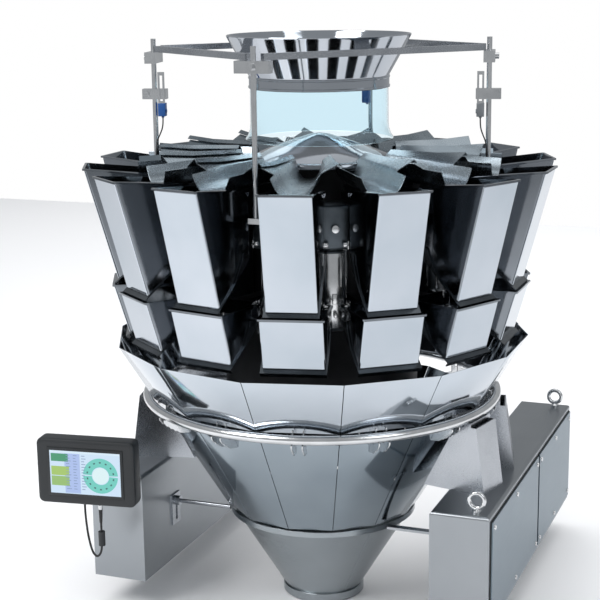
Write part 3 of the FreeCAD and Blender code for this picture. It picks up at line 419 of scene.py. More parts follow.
# cords: the display's cable and two sensor cables
displayPlace = {"centre": (-0.440, -0.400, 0.380), "turn": math.radians(8)}
displayMatrix = Matrix.Translation(displayPlace["centre"]) @ Matrix.Rotation(displayPlace["turn"], 4, "Z")
displayRoute = [
    (0.025, 0.023, -0.095), (0.0243, 0.023, -0.131), (0.025, 0.023, -0.167), (0.024, 0.023, -0.191),
    (0.020, 0.0235, -0.207), (0.011, 0.024, -0.216), (0.001, 0.025, -0.208), (-0.006, 0.027, -0.189),
    (-0.013, 0.031, -0.161), (-0.019, 0.038, -0.129), (-0.024, 0.047, -0.101), (-0.027, 0.058, -0.069),
    (-0.029, 0.066, -0.054), (-0.030, 0.062, -0.0485), (-0.030, 0.054, -0.048)]
sensorRoute = [
    (0.375, 0.004, 1.180), (0.375, 0.004, 1.164), (0.377, 0.006, 1.150), (0.382, 0.0095, 1.137),
    (0.388, 0.012, 1.124), (0.391, 0.013, 1.104), (0.392, 0.013, 1.078), (0.3915, 0.0123, 1.052),
    (0.391, 0.0115, 1.026), (0.391, 0.011, 1.000)]


cordSizes = {"displayRadius": 0.0026, "sensorRadius": 0.0016, "roundSteps": 6, "alongSteps": 12}


def cordCurve(name, points, radius):
    curve = bpy.data.curves.new(name, "CURVE")
    curve.dimensions = "3D"
    curve.bevel_depth = radius
    curve.bevel_resolution = cordSizes["roundSteps"]
    curve.use_fill_caps = True
    spline = curve.splines.new("NURBS")
    spline.points.add(len(points) - 1)
    for point, spot in zip(spline.points, points):
        point.co = (*spot, 1)
    spline.order_u = 3
    spline.use_endpoint_u = True
    spline.resolution_u = cordSizes["alongSteps"]
    curve.materials.append(cableJacket)
    return linked(name, curve)


displayCable = cordCurve("displayCable", [displayMatrix @ Vector(p) for p in displayRoute],
                         cordSizes["displayRadius"])
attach(displayCable, "display")
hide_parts("display_cable")
for label, angle, side in (("Right", postAngles[1], -1), ("Left", postAngles[3], 1)):
    route = [around(r, side * t, z, angle) for r, t, z in sensorRoute]
    cable = cordCurve("sensorCable" + label, route, cordSizes["sensorRadius"])
    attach(cable, "root")
    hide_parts("sensor_cable_" + label.lower())
print("cords laid")

# hoppers: one folded shell for each size, repeated round the axis
feedShell = {"frontTop": (0.550, 1.075), "frontLow": (0.480, 0.816), "back": 0.366, "backTop": 1.045,
             "lean": 0.014, "half": 0.056, "rim": 0.004, "rimDrop": 0.004, "wall": 0.0016, "slope": 0.8476}
weighShell = {"frontTop": (0.491, 0.804), "frontLow": (0.458, 0.689), "back": 0.345, "backTop": 0.804,
              "lean": 0.014, "half": 0.068, "rim": 0.004, "rimDrop": 0.004, "wall": 0.0016, "slope": 0.7387}
frontSheet = {"play": 0.0008, "inset": 0.0014, "proud": 0.0010, "sunk": 0.0004, "below": 0.006,
              "above": 0.0012}


def roundedLoop(back, front, half, corner=0.005, steps=4):
    points = []
    for r, t, start in ((front, half, 0), (back, half, 90), (back, -half, 180), (front, -half, 270)):
        cr = r - corner if r == front else r + corner
        ct = t - corner if t > 0 else t + corner
        for i in range(steps + 1):
            a = math.radians(start + 90 * i / steps)
            points.append((cr + corner * math.cos(a), ct + corner * math.sin(a)))
    return points


def hopperMesh(name, size):
    topR, topZ = size["frontTop"]
    lowR, lowZ = size["frontLow"]

    def topHeight(r):
        rise = (r - size["back"]) / size["lean"]
        return min(topZ, size["backTop"] + max(rise, 0) * (topZ - size["backTop"]))

    def build(shape):
        rim, wall = size["rim"], size["wall"]
        outer = roundedLoop(size["back"], topR + rim, size["half"] + rim)
        under = roundedLoop(size["back"] + wall, topR + rim - wall, size["half"] + rim - wall)
        top = roundedLoop(size["back"], topR, size["half"])
        topIn = roundedLoop(size["back"] + wall, topR - wall, size["half"] - wall)
        low = roundedLoop(size["back"], lowR, size["half"])
        lowIn = roundedLoop(size["back"] + wall, lowR - wall, size["half"] - wall)

        def lying(loop, drop):
            return [(r, t, topHeight(r) - drop) for r, t in loop]

        def cut(loop):
            return [(r, t, lowZ + (lowR - r) * size["slope"]) for r, t in loop]
        rows = [lying(outer, size["rimDrop"]), lying(outer, 0.0), lying(topIn, 0.0), cut(lowIn), cut(low),
                lying(top, wall), lying(under, wall), lying(under, size["rimDrop"])]
        skinInto(shape, [[shape.verts.new(p) for p in row] for row in rows])
    return meshFrom(name, build)


def frontMesh(name, size):  # the bright front sheet, its long edges eased
    (topR, topZ), (lowR, lowZ) = size["frontTop"], size["frontLow"]
    half, inset = size["half"] - frontSheet["play"], frontSheet["inset"]
    lean = (topR - lowR) / (topZ - lowZ)
    high, low = topZ - frontSheet["below"], lowZ + frontSheet["above"]

    def build(shape):
        layers = []
        for lift, draw in ((-frontSheet["sunk"], 0.0), (frontSheet["proud"], inset)):
            layers.append([shape.verts.new((lowR + (z - lowZ) * lean + lift, t, z)) for t, z in (
                (-half + draw, high), (half - draw, high), (half - draw, low), (-half + draw, low))])
        plateInto(shape, *layers)
    return meshFrom(name + "Front", build)


for name, size, node in (("feedHoppers", feedShell, "feed_hoppers"),
                         ("weighHoppers", weighShell, "weigh_hoppers")):
    # the shells take the darker steel with painted shade, the fronts take the polished steel
    addPiece(name, ringOf(hopperMesh(name, size), shadedShellSteel), [shadedShellSteel], replaced=node,
             smooth=35)
    addPiece(name + "Fronts", ringOf(frontMesh(name, size), polishedSteel), [polishedSteel],
             replaced=node)
print("hoppers made")

# chute panels with softened edges
upperChute = {"top": (0.496, 0.663), "low": (0.416, 0.530), "thick": 0.002, "seam": 0.0007, "edge": 0.0007}
lowerChute = {"top": (0.391, 0.497), "low": (0.235, 0.238), "thick": 0.002, "seam": 0.0007, "edge": 0.0007}


def panelMesh(name, size):
    c, s = math.cos(halfPitch), math.sin(halfPitch)

    def build(shape):
        layers = []
        for inset in (0.0, size["thick"]):
            corners = []
            for (radius, height), side in ((size["top"], -1), (size["top"], 1),
                                           (size["low"], 1), (size["low"], -1)):
                reach = radius - inset
                corners.append(shape.verts.new((reach * c, side * (reach * s - size["seam"]), height)))
            layers.append(corners)
        plateInto(shape, *layers)
    return modified(meshFrom(name, build), bevel=size["edge"])


# the lower chute takes the darker copy of the chute steel, with painted shade
for name, size, node, steel in (("upperChute", upperChute, "upper_chutes", chuteSteel),
                                ("lowerChute", lowerChute, "lower_chutes", shadedLowerSteel)):
    addPiece(name, ringOf(panelMesh(name, size), steel), [steel], replaced=node,
             smooth=35)
print("chutes made")

# feeder pans: a curved trough with a wing on each side, one of them folded over the next pan
panShape = {"stations": (0.184, 0.222, 0.260, 0.300, 0.336, 0.371, 0.424), "floor": 1.052, "tilt": 2.2,
            "rise": 0.0415, "inner": (0.022, 0.009), "outer": (0.030, 0.020), "bend": 0.300,
            "wingEnd": 0.371, "slope": 0.5, "lap": 0.005, "gap": 0.007, "lift": 0.004, "fold": 0.007,
            "wall": 0.0015, "edge": 0.0004, "curve": 3.6, "halfSteps": 8}


def panMesh():
    tilt = math.radians(panShape["tilt"])

    def placed(r, t, z):
        dr, dz = r - panShape["bend"], z - panShape["floor"]
        return (panShape["bend"] + dr * math.cos(tilt) + dz * math.sin(tilt), t,
                panShape["floor"] - dr * math.sin(tilt) + dz * math.cos(tilt))

    def widths(r):
        start = panShape["stations"][0]
        share = min(1.0, max(0.0, (r - start) / (panShape["bend"] - start)))
        flat = panShape["inner"][0] + share * (panShape["outer"][0] - panShape["inner"][0])
        run = panShape["inner"][1] + share * (panShape["outer"][1] - panShape["inner"][1])
        return flat, flat + run

    def strip(shape, rows):
        grid = [[shape.verts.new(placed(*p)) for p in row] for row in rows]
        for a, b in zip(grid, grid[1:]):
            for i in range(len(a) - 1):
                shape.faces.new((a[i], b[i], b[i + 1], a[i + 1]))

    def build(shape):
        trough, left, right = [], [], []
        for r in panShape["stations"]:
            flat, half = widths(r)
            row = []
            for i in range(2 * panShape["halfSteps"] + 1):
                u = -1 + i / panShape["halfSteps"]
                row.append((r, half * u, panShape["floor"] + panShape["rise"] * abs(u) ** panShape["curve"]))
            trough.append(row)
            rim = panShape["floor"] + panShape["rise"]
            if r <= panShape["wingEnd"]:
                reach = r * math.tan(halfPitch) - half
                short = reach - panShape["gap"]
                left.append([(r, -half - short, rim + short * panShape["slope"]),
                             (r, -half - short * 0.5, rim + short * panShape["slope"] * 0.5),
                             (r, -half, rim)])
                long = reach + panShape["lap"]
                ridge = rim + long * panShape["slope"] + panShape["lift"]
                right.append([(r, half, rim), (r, half + panShape["lift"], rim + panShape["lift"]),
                              (r, half + long, ridge),
                              (r, half + long + panShape["fold"], ridge - panShape["fold"])])
        for rows in (left, trough, right):
            strip(shape, rows)
    return modified(meshFrom("feederPans", build), thickness=panShape["wall"], offset=1.0,
                    bevel=panShape["edge"], segments=1)


addPiece("feederPans", ringOf(panMesh(), panSteel), [panSteel], body="feeder_pans",
         replaced="feeder_pans", smooth=35)

# cone, infeed funnel, clear cylinder and discharge funnel
coneProfile = [(0.0001, 1.074), (0.176, 1.074), (0.178, 1.076), (0.178, 1.084), (0.176, 1.087),
               (0.120, 1.106), (0.060, 1.127), (0.022, 1.139), (0.0001, 1.142)]
# the cone takes the darker steel with painted shade
addPiece("dispersionCone", turnedMesh("dispersionCone", coneProfile), [shadedShellSteel], body="dispersion_cone",
         replaced="dispersion_cone", smooth=40)
funnelProfile = [(0.2125, 1.3700), (0.2145, 1.3695), (0.2150, 1.3680), (0.2140, 1.3650), (0.1645, 1.277),
                 (0.1645, 1.2745), (0.1655, 1.2735), (0.1655, 1.2705), (0.1640, 1.2695), (0.1640, 1.2535),
                 (0.1655, 1.2525), (0.1655, 1.2485), (0.1640, 1.2475), (0.1620, 1.2475), (0.1620, 1.277),
                 (0.2120, 1.3660)]
addPiece("infeedFunnel", turnedMesh("infeedFunnel", funnelProfile, 128), [funnelSteel],
         replaced="infeed_funnel", smooth=30)
cylinderProfile = [(0.1610, 1.2590), (0.1616, 1.2585), (0.1620, 1.165), (0.1635, 1.152), (0.1680, 1.139),
                   (0.1752, 1.1285), (0.1740, 1.1280), (0.1720, 1.1282), (0.1645, 1.139), (0.1598, 1.152),
                   (0.1580, 1.165), (0.1580, 1.2585)]
addPiece("clearCylinder", turnedMesh("clearCylinder", cylinderProfile, 128), [acrylic],
         replaced="infeed_cylinder", smooth=30)
dischargeProfile = [(0.2270, 0.2310), (0.2280, 0.2300), (0.2280, 0.2180), (0.2265, 0.2170), (0.2158, 0.2168),
                    (0.0965, 0.0210), (0.0990, 0.0200), (0.1000, 0.0190), (0.1000, 0.0010), (0.0990, 0.0),
                    (0.0940, 0.0), (0.0940, 0.0200), (0.2222, 0.2310)]


weldSeam = {"angle": 52, "low": (0.0985, 0, 0.024), "high": (0.2150, 0, 0.2150), "radius": 0.0012}


def dischargeMesh():
    cone = turnedMesh("dischargeFunnel", dischargeProfile, 128)

    def build(shape):
        angle = math.radians(weldSeam["angle"])
        start, end = (around(*weldSeam[place], angle) for place in ("low", "high"))
        rodInto(shape, start, end, weldSeam["radius"], 8)
    return joined([cone, meshFrom("seam", build)])


addPiece("dischargeFunnel", dischargeMesh(), [brushedSteel], replaced="discharge_funnel",
         smooth=40)
print("funnels made")

# ring tube and its toothed hooks
ringSizes = {"radius": 0.4235, "tube": 0.011, "height": 0.520, "spread": 0.012, "thick": 0.003}
hookOutline = [
    (0.3812, 0.497), (0.3657, 0.470), (0.392, 0.474), (0.3995, 0.480), (0.404, 0.4795), (0.410, 0.486),
    (0.4150, 0.4865), (0.4195, 0.493), (0.4245, 0.4935), (0.4315, 0.504), (0.4315, 0.509), (0.4105, 0.509),
    (0.4105, 0.537), (0.4060, 0.530), (0.3995, 0.530), (0.3995, 0.497)]


def ringTube(shape):
    torusInto(shape, (0, 0, ringSizes["height"]), ringSizes["radius"], ringSizes["tube"], (0, 0, 1), 168, 18)


def hookMesh():
    def build(shape):
        for side in (-1, 1):
            middle = side * ringSizes["spread"]
            layers = []
            for t in (middle - ringSizes["thick"] / 2, middle + ringSizes["thick"] / 2):
                layers.append([shape.verts.new((r, t, z)) for r, z in hookOutline])
            plateInto(shape, *layers)
    return modified(meshFrom("chuteHooks", build), bevel=0.0005, segments=1, limit=50)


addPiece("chuteRing", meshFrom("chuteRing", ringTube), [brightFittings], replaced="chute_ring",
         smooth=40)
addPiece("chuteHooks", ringOf(hookMesh(), brightFittings), [brightFittings], replaced="chute_ring",
         smooth=35)

# fittings: drive knobs; the cover screws and lifting eyes come further down
knobSizes = {"height": 0.9695, "face": 0.335, "neck": 0.004, "neckRadius": 0.0065, "long": 0.014,
             "gripRadius": 0.009, "flute": 0.95}
latchSizes = {"height": 0.776, "face": 0.325, "long": 0.014, "radius": 0.0054}


def knobMesh():
    def build(shape):
        face, height, flute = knobSizes["face"], knobSizes["height"], knobSizes["flute"]
        neckEnd = (face + knobSizes["neck"], 0, height)
        rodInto(shape, (face, 0, height), neckEnd, knobSizes["neckRadius"], 20)
        grip = rodInto(shape, neckEnd, (face + knobSizes["long"], 0, height), knobSizes["gripRadius"], 28)
        for i, vertex in enumerate(grip):
            if i % 2:
                vertex.co.y *= flute
                vertex.co.z = height + (vertex.co.z - height) * flute
        face, height = latchSizes["face"], latchSizes["height"]
        rodInto(shape, (face, 0, height), (face + latchSizes["long"], 0, height), latchSizes["radius"], 6)
    return modified(meshFrom("driveKnobs", build), bevel=0.0005, segments=2)


addPiece("driveKnobs", ringOf(knobMesh(), brightFittings, start=0), [brightFittings],
         replaced="fittings", smooth=35)
print("ring and fittings made")

# drive units: a rounded cap over a cover plate, with its levers and springs
driveSizes = {"cap": ((0.246, -0.0365, 0.920), (0.335, 0.0365, 1.019)), "capRound": 0.009,
              "cover": ((0.232, -0.024, 0.736), (0.322, 0.024, 0.920)), "plate": 0.019,
              "springRadius": 0.0045, "springWire": 0.0010, "springTurns": 13, "springSteps": 10}
linkSizes = {"face": (0.322, 0.325, 0.745, 0.912), "catch": ((0.325, -0.007, 0.800), (0.331, 0.007, 0.822)),
             "leverHeights": ((0.926, 0.944), (0.790, 0.806)), "leverSide": (0.0255, 0.0295),
             "leverReach": (0.312, 0.352), "pin": (0.346, 0.016, 0.031, 0.0062, 14),
             "boss": (0.320, 0.024, 0.034, 0.0085, 16), "strap": (0.300, 0.306, 0.806, 0.926),
             "strapSide": 0.0265, "strapHalf": 0.0015, "rodRadius": 0.003,
             "rods": (((0.336, 0.012, 0.840), (0.336, 0.012, 0.905)),
                      ((0.336, -0.012, 0.760), (0.336, -0.012, 0.790))),
             "springs": (((0.338, 0.0215, 0.925), (0.342, 0.0215, 0.862)),
                         ((0.338, -0.0215, 0.790), (0.342, -0.0215, 0.735)))}


def driveCapMesh():
    def build(shape):
        boxInto(shape, *driveSizes["cap"])
        boxInto(shape, *driveSizes["cover"])
    return modified(meshFrom("driveCaps", build), bevel=driveSizes["capRound"], segments=4)


def springInto(shape, start, end):
    start, end = Vector(start), Vector(end)
    way = (end - start).normalized()
    side = way.cross(Vector((0, 1, 0))).normalized()
    other = way.cross(side)
    perTurn, wire = driveSizes["springSteps"], driveSizes["springWire"]
    steps = driveSizes["springTurns"] * perTurn
    rings = []
    for i in range(steps + 1):
        a = 2 * math.pi * i / perTurn
        outward = side * math.cos(a) + other * math.sin(a)
        middle = start.lerp(end, i / steps) + outward * driveSizes["springRadius"]
        rings.append([shape.verts.new(middle + (outward * math.cos(b) + way * math.sin(b)) * wire)
                      for b in (math.pi / 2 * j for j in range(4))])
    skinInto(shape, rings, shut=False)
    shape.faces.new(rings[0][::-1])
    shape.faces.new(rings[-1])


def driveLinksMesh():
    plate = driveSizes["plate"]

    def plates(shape):
        near, far, low, high = linkSizes["face"]
        boxInto(shape, (near, -plate, low), (far, plate, high))  # bright face plate
        boxInto(shape, *linkSizes["catch"])
        leverNear, leverFar = linkSizes["leverReach"]
        near, far, strapLow, strapHigh = linkSizes["strap"]
        for side in (-1, 1):
            for low, high in linkSizes["leverHeights"]:
                y0, y1 = sorted(side * y for y in linkSizes["leverSide"])
                boxInto(shape, (leverNear, y0, low), (leverFar, y1, high))
                middle = (low + high) / 2
                for x, start, end, radius, sides in (linkSizes["pin"], linkSizes["boss"]):
                    rodInto(shape, (x, side * start, middle), (x, side * end, middle), radius, sides)
            y, thin = side * linkSizes["strapSide"], linkSizes["strapHalf"]
            boxInto(shape, (near, y - thin, strapLow), (far, y + thin, strapHigh))
        for start, end in linkSizes["rods"]:
            rodInto(shape, start, end, linkSizes["rodRadius"], 10)

    def springs(shape):
        for start, end in linkSizes["springs"]:
            springInto(shape, start, end)
    return joined([modified(meshFrom("driveLinks", plates), bevel=0.0008), meshFrom("springs", springs)])


addPiece("driveCaps", ringOf(driveCapMesh(), driveCover, start=0), [driveCover], replaced="drive_units",
         smooth=35)
addPiece("driveLinks", ringOf(driveLinksMesh(), brightFittings, start=0), [brightFittings],
         replaced="drive_units", smooth=35)

# lifting eyes and the covers' screws
eyeSizes = {"x": 0.455, "front": -0.256, "back": 0.601, "seat": 0.343, "collar": 0.011, "ring": 0.017,
            "wire": 0.005, "collarHigh": 0.005, "shoulder": 0.009, "neck": 0.008, "sink": 0.002}
screwSizes = {"x": 0.496, "edge": 0.016, "heights": (0.106, 0.313), "out": 0.003, "radius": 0.006,
              "tip": 0.0052}


def pointsTree():  # puts a small mesh on every vertex of another one
    tree, source, place = newTree("onPoints", (("Points", "NodeSocketObject"),))
    spots = tree.nodes.new("GeometryNodeObjectInfo")
    tree.links.new(source.outputs["Points"], spots.inputs["Object"])
    tree.links.new(spots.outputs["Geometry"], place.inputs["Points"])
    return closeTree(tree, source, place)


pointNodes = pointsTree()


def onPoints(mesh, spots, material):
    cloud = bpy.data.meshes.new("spots")
    cloud.from_pydata([tuple(spot) for spot in spots], [], [])
    cloudHolder = linked("spots", cloud)
    result = throughTree(mesh, pointNodes, {"Points": cloudHolder, "Material": material})
    bpy.data.objects.remove(cloudHolder)
    return result


def eyeMesh():
    def build(shape):
        collar, ring, wire = eyeSizes["collar"], eyeSizes["ring"], eyeSizes["wire"]
        seat = (0, 0, eyeSizes["collarHigh"])
        rodInto(shape, (0, 0, 0), seat, collar, 24)
        rodInto(shape, seat, (0, 0, eyeSizes["shoulder"]), collar * 0.9, 24, collar * 0.5)
        middle = (0, 0, eyeSizes["neck"] + ring + wire - eyeSizes["sink"])
        torusInto(shape, middle, ring, wire, (0, 1, 0), 36)
    return meshFrom("liftingEyes", build)


def coverScrewMesh():
    def build(shape):
        out, radius = screwSizes["out"], screwSizes["radius"]
        rodInto(shape, (0, 0, 0), (out, 0, 0), radius, 16, screwSizes["tip"])
        rodInto(shape, (-out, 0, 0), (0, 0, 0), radius, 16, radius)
    return meshFrom("coverScrews", build)


eyeSpots = [(side * eyeSizes["x"], y, eyeSizes["seat"]) for side in (-1, 1)
            for y in (eyeSizes["front"], eyeSizes["back"])]
addPiece("liftingEyes", onPoints(eyeMesh(), eyeSpots, brightFittings), [brightFittings],
         replaced="fittings", smooth=40)
coverSpans = ((-0.270, 0.207), (0.221, 0.615))
screwSpots = [(side * screwSizes["x"], y, z) for side in (-1, 1) for front, back in coverSpans
              for y in (front + screwSizes["edge"], (front + back) / 2, back - screwSizes["edge"])
              for z in screwSizes["heights"]]
addPiece("coverScrews", onPoints(coverScrewMesh(), screwSpots, brightFittings), [brightFittings],
         replaced="fittings", smooth=40)
sensorSizes = {"radius": 0.375, "half": 0.0088, "near": -0.003, "far": 0.0165, "low": 1.180, "tall": 0.031,
               "lensHigh": 0.012, "lensOut": 0.002, "lensRadius": 0.005, "nutSide": 0.004, "nutLong": 0.004,
               "nutRadius": 0.0034}
for label, angle, side, material in (("Right", postAngles[1], -1, sensorGrey),
                                     ("Left", postAngles[3], 1, sensorBlue),
                                     ("Back", postAngles[2], 1, sensorBlue)):
    def sensorBuild(shape):
        y0, y1 = sorted((side * sensorSizes["near"], side * sensorSizes["far"]))
        radius, half, low = sensorSizes["radius"], sensorSizes["half"], sensorSizes["low"]
        turn = Matrix.Rotation(angle - math.pi / 2, 4, "Z")
        boxInto(shape, (radius - half, y0, low), (radius + half, y1, low + sensorSizes["tall"]), turn)
        middle, high = (y0 + y1) / 2, low + sensorSizes["lensHigh"]
        lens = turn @ Vector((radius - half, middle, high))
        lensEnd = turn @ Vector((radius - half - sensorSizes["lensOut"], middle, high))
        rodInto(shape, lens, lensEnd, sensorSizes["lensRadius"], 18)
        nut = turn @ Vector((radius, side * sensorSizes["nutSide"], low))
        rodInto(shape, nut, nut - Vector((0, 0, sensorSizes["nutLong"])), sensorSizes["nutRadius"], 12)
    addPiece("sensor" + label, modified(meshFrom("sensor" + label, sensorBuild), bevel=0.0015, segments=3),
             [material], replaced="sensor_bodies", smooth=35)
print("drives and eyes made")

# display: a rounded black housing round a lit screen
displaySizes = {"width": 0.240, "height": 0.158, "corner": 0.014, "hingeBack": 0.066, "hingeHalf": 0.030,
                "hingeRadius": 0.008, "lugStart": 0.0455, "lugGap": 0.006, "screenWidth": 0.186,
                "screenHeight": 0.118, "screenPlay": 0.0005}
housingEdge = (  # how far the rounded edge draws in at each depth
    (0.0100, 0.0), (0.0050, 0.0003), (0.0018, 0.0018), (0.0003, 0.0050), (0.0, 0.0080),
    (0.0, 0.0370), (0.0010, 0.0420), (0.0040, 0.0450), (0.0090, 0.0460))
cableSizes = {"gland": ((0.025, 0.023, -0.078), (0.025, 0.023, -0.084), 0.0075),
              "backGland": ((-0.030, 0.0455, -0.048), (-0.030, 0.054, -0.048), 0.007),
              "connector": ((0.025, 0.023, -0.084), (0.025, 0.023, -0.095), 0.0062),
              "plug": ((0.0248, 0.023, -0.0945), (0.0243, 0.023, -0.128), 0.0048),
              "connectorTip": 0.0050, "plugTip": 0.0034}


def placedInDisplay(mesh):
    mesh.transform(displayMatrix)
    return mesh


def housingShell(shape):
    width, height = displaySizes["width"] / 2, displaySizes["height"] / 2
    rows = []
    for inset, depth in housingEdge:
        loop = roundedLoop(-width + inset, width - inset, height - inset,
                           displaySizes["corner"] - inset * 0.5, 6)
        rows.append([(x, depth, z) for x, z in loop])
    play = displaySizes["screenPlay"]
    across, up = displaySizes["screenWidth"] / 2 + play, displaySizes["screenHeight"] / 2 + play
    for depth in (0.0002, 0.0006):
        rows.insert(0, [(x, depth, z) for x, z in roundedLoop(-across, across, up, 0.002, 6)])
    grid = [[shape.verts.new(p) for p in row] for row in rows]
    skinInto(shape, grid, shut=False)
    shape.faces.new(grid[0])
    shape.faces.new(grid[-1])


def housingBack(shape):
    hinge, half, barrel = displaySizes["hingeBack"], displaySizes["hingeHalf"], displaySizes["hingeRadius"]
    rodInto(shape, (-half, hinge, 0), (half, hinge, 0), barrel, 24)
    boxInto(shape, (-half, displaySizes["lugStart"], -barrel), (half, hinge - displaySizes["lugGap"], barrel))
    rodInto(shape, *cableSizes["gland"], 6)
    rodInto(shape, *cableSizes["backGland"], 6)


def cableEnds(shape):
    rodInto(shape, *cableSizes["connector"], 20, cableSizes["connectorTip"])


def cablePlug(shape):
    rodInto(shape, *cableSizes["plug"], 18, cableSizes["plugTip"])


for name, build, material in (("displayShell", housingShell, blackPlastic),
                              ("displayLug", housingBack, blackPlastic),
                              ("cableConnector", cableEnds, brightFittings),
                              ("cablePlug", cablePlug, cableJacket)):
    addPiece(name, placedInDisplay(meshFrom(name, build)), [material], body="display",
             replaced="display_housing", smooth=35)

screenLayout = {"ground": ((-0.0865, -0.052, 0.0865, 0.052), (0.62, 0.78, 0.95)),
                "header": ((-0.0865, 0.047, 0.0865, 0.052), (0.70, 0.85, 0.97)),
                "columns": ((-0.050, -0.050, -0.012, 0.046), (0.40, 0.52, 0.84)),
                "greenBlock": ((-0.083, 0.026, -0.041, 0.045), (0.03, 0.29, 0.14)),
                "limeBlock": ((-0.083, -0.008, -0.039, 0.014), (0.36, 0.56, 0.12)),
                "oliveBlock": ((-0.083, -0.033, -0.039, -0.010), (0.29, 0.50, 0.14))}


screenDepths = {"glassBack": 0.0004, "glassFront": 0.0015, "areaBack": 0.0014, "areaFront": 0.0016,
                "areaStep": 0.00015, "dialFront": 0.0028, "markFront": 0.0030}


def glassPlate(shape):
    across, up = displaySizes["screenWidth"] / 2, displaySizes["screenHeight"] / 2
    boxInto(shape, (-across, -screenDepths["glassFront"], -up), (across, screenDepths["glassBack"], up))


addPiece("displayScreen", placedInDisplay(modified(meshFrom("displayScreen", glassPlate), bevel=0.0005)),
         [blackPlastic], body="display", replaced="display_screen", smooth=35)
for i, (label, ((x0, z0, x1, z1), color)) in enumerate(screenLayout.items()):
    def areaBuild(shape):
        lift = screenDepths["areaFront"] + screenDepths["areaStep"] * i
        boxInto(shape, (x0, -lift, z0), (x1, -screenDepths["areaBack"], z1))
    addPiece("screen_" + label, placedInDisplay(meshFrom(label, areaBuild)), [litArea(label, color)],
             body="display", replaced="display_screen")
dialSizes = {"centre": (0.038, -0.004), "outer": 0.0425, "inner": 0.0215, "gap": 0.05,
             "marks": (0.031, 0.0345), "markHalf": 0.07, "middle": (0.0001, 0.0195)}


def sectorInto(shape, inner, outer, start, end, lift, steps=24):
    layers = []
    x, z = dialSizes["centre"]
    for depth in (-lift, -screenDepths["areaBack"]):
        rows = [[shape.verts.new((x + radius * math.cos(a), depth, z + radius * math.sin(a)))
                 for radius in (inner, outer)]
                for a in (start + (end - start) * k / steps for k in range(steps + 1))]
        layers.append(rows)
    front, back = layers
    for k in range(steps):
        shape.faces.new((front[k][0], front[k][1], front[k + 1][1], front[k + 1][0]))
        shape.faces.new((back[k][0], back[k + 1][0], back[k + 1][1], back[k][1]))
        for j in (0, 1):
            shape.faces.new((front[k][j], front[k + 1][j], back[k + 1][j], back[k][j]))
    for k in (0, steps):
        shape.faces.new((front[k][0], front[k][1], back[k][1], back[k][0]))


def dialHalves(shape):
    for start in (0, math.pi):
        sectorInto(shape, dialSizes["inner"], dialSizes["outer"], start + dialSizes["gap"],
                   start + math.pi - dialSizes["gap"], screenDepths["dialFront"])


def dialMarks(shape):  # one plain mark for each head
    for k in range(headCount):
        a = (k + 0.5) * pitch
        sectorInto(shape, *dialSizes["marks"], a - dialSizes["markHalf"], a + dialSizes["markHalf"],
                   screenDepths["markFront"], 3)


def dialMiddle(shape):
    sectorInto(shape, *dialSizes["middle"], 0, 2 * math.pi, screenDepths["dialFront"], 40)


for name, build, color in (("screen_dial", dialHalves, (0.14, 0.60, 0.52)),
                           ("screen_dialMarks", dialMarks, (0.03, 0.12, 0.12)),
                           ("screen_dialMiddle", dialMiddle, (0.72, 0.90, 0.93))):
    addPiece(name, placedInDisplay(meshFrom(name, build)), [litArea(name, color)], body="display",
             replaced="display_screen")


barSizes = {"columns": ((-0.046, 0.012), (-0.028, 0.010), (-0.008, 0.012)), "rows": 13, "top": 0.042,
            "step": 0.0068, "half": 0.0006, "front": 0.0030, "shortest": 0.6, "spread": 0.4}


def listBars(shape):  # plain bars in place of figures, their lengths uneven
    for column, (start, wide) in enumerate(barSizes["columns"]):
        for row in range(barSizes["rows"]):
            z = barSizes["top"] - row * barSizes["step"]
            short = wide * (barSizes["shortest"] + barSizes["spread"] * ((row * 7 + column * 3) % 5) / 4)
            boxInto(shape, (start, -barSizes["front"], z - barSizes["half"]),
                    (start + short, -screenDepths["areaBack"], z + barSizes["half"]))


addPiece("screen_bars", placedInDisplay(meshFrom("screenBars", listBars)),
         [litArea("listBars", (0.22, 0.30, 0.50), litLook["barGlow"])], body="display",
         replaced="display_screen")
print("display made")

# CAD nodes that keep their shape
keptLooks = {"centre_drum": darkHousing, "vibrators": darkHousing, "hopper_hangers": darkHousing,
             "discharge_stays": satinSteel, "right_cabinet": cabinetSteel, "left_cabinet": cabinetSteel,
             "cabinet_covers": coverSteel, "cabinet_gaskets": gasketRubber, "support_arms": satinSteel,
             "frame_posts": brightFittings, "frame_bars": satinSteel, "sensor_mounts": brightFittings,
             "display_bracket": satinSteel, "cable_ferrite": blackPlastic}
for number in range(1, headCount + 1):
    keptLooks["feed_gate_%02d" % number] = gateSteel
    keptLooks["weigh_gate_%02d" % number] = gateSteel
for node, material in keptLooks.items():
    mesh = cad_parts[node].data
    mesh.materials.clear()
    mesh.materials.append(material)

# studio: pale floor, white surround and soft lights
studio = {"floorHeight": -0.002, "floorHalf": 5.5, "floorTone": (0.93, 0.93, 0.94, 1), "floorRough": 0.75,
          "surround": 0.42, "surroundTone": (0.94, 0.97, 1.0, 1)}


def paleFloor():
    material, tree, shader = newMaterial("paleFloor")
    shader.inputs["Roughness"].default_value = studio["floorRough"]
    shader.inputs["Base Color"].default_value = studio["floorTone"]
    return material


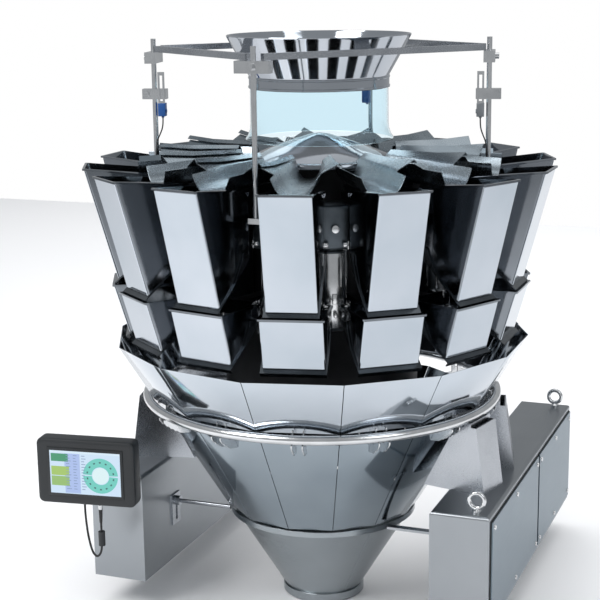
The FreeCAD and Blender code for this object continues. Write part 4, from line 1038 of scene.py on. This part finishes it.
def floorBuild(shape):
    half = studio["floorHalf"]
    corners = [shape.verts.new((x, y, studio["floorHeight"]))
               for x, y in ((-half, -half), (half, -half), (half, half), (-half, half))]
    shape.faces.new(corners)


floorMesh = meshFrom("studioFloor", floorBuild)
floorMesh.materials.append(paleFloor())
studioFloor = linked("studioFloor", floorMesh)

world = bpy.data.worlds.new("studioWorld")
world.use_nodes = True
worldTree = world.node_tree
join = worldTree.links.new
background = worldTree.nodes["Background"]
background.inputs["Color"].default_value = studio["surroundTone"]
background.inputs["Strength"].default_value = studio["surround"]
plainWhite = worldTree.nodes.new("ShaderNodeBackground")  # the white backdrop itself
plainWhite.inputs["Color"].default_value = (1, 1, 1, 1)
plainWhite.inputs["Strength"].default_value = 1.0
seen = worldTree.nodes.new("ShaderNodeLightPath")
chosen = worldTree.nodes.new("ShaderNodeMixShader")
straight = worldTree.nodes.new("ShaderNodeMath")
straight.operation = "MAXIMUM"
join(seen.outputs["Is Camera Ray"], straight.inputs[0])
join(seen.outputs["Is Transmission Ray"], straight.inputs[1])
join(straight.outputs[0], chosen.inputs["Fac"])
join(background.outputs["Background"], chosen.inputs[1])
join(plainWhite.outputs["Background"], chosen.inputs[2])
join(chosen.outputs["Shader"], worldTree.nodes["World Output"].inputs["Surface"])
scene.world = world


def softLight(name, place, target, size, power, color=(1, 1, 1), mirrored=True):
    data = bpy.data.lights.new(name, "AREA")
    data.shape = "RECTANGLE"
    data.size, data.size_y = size
    data.energy = power
    data.color = color
    light = linked(name, data)
    light.location = place
    light.rotation_euler = (Vector(target) - Vector(place)).to_track_quat("-Z", "Y").to_euler()
    light.visible_glossy = mirrored


softLight("keyLight", (-1.3, -2.5, 2.8), (0, -1.5, -0.2), (1.6, 1.6), 75)
softLight("fillLight", (2.6, -1.6, 2.4), (0.2, -0.2, 0.4), (1.2, 1.8), 16, (0.94, 0.97, 1.0))
softLight("topLight", (0.2, 0.4, 3.8), (0, 0, 0.8), (3.0, 3.0), 26)
softLight("backLight", (0, 3.6, 5.0), (0, 3.2, 0), (9.0, 7.0), 330, mirrored=False)
scene.view_settings.view_transform = "Standard"
print("studio lit")
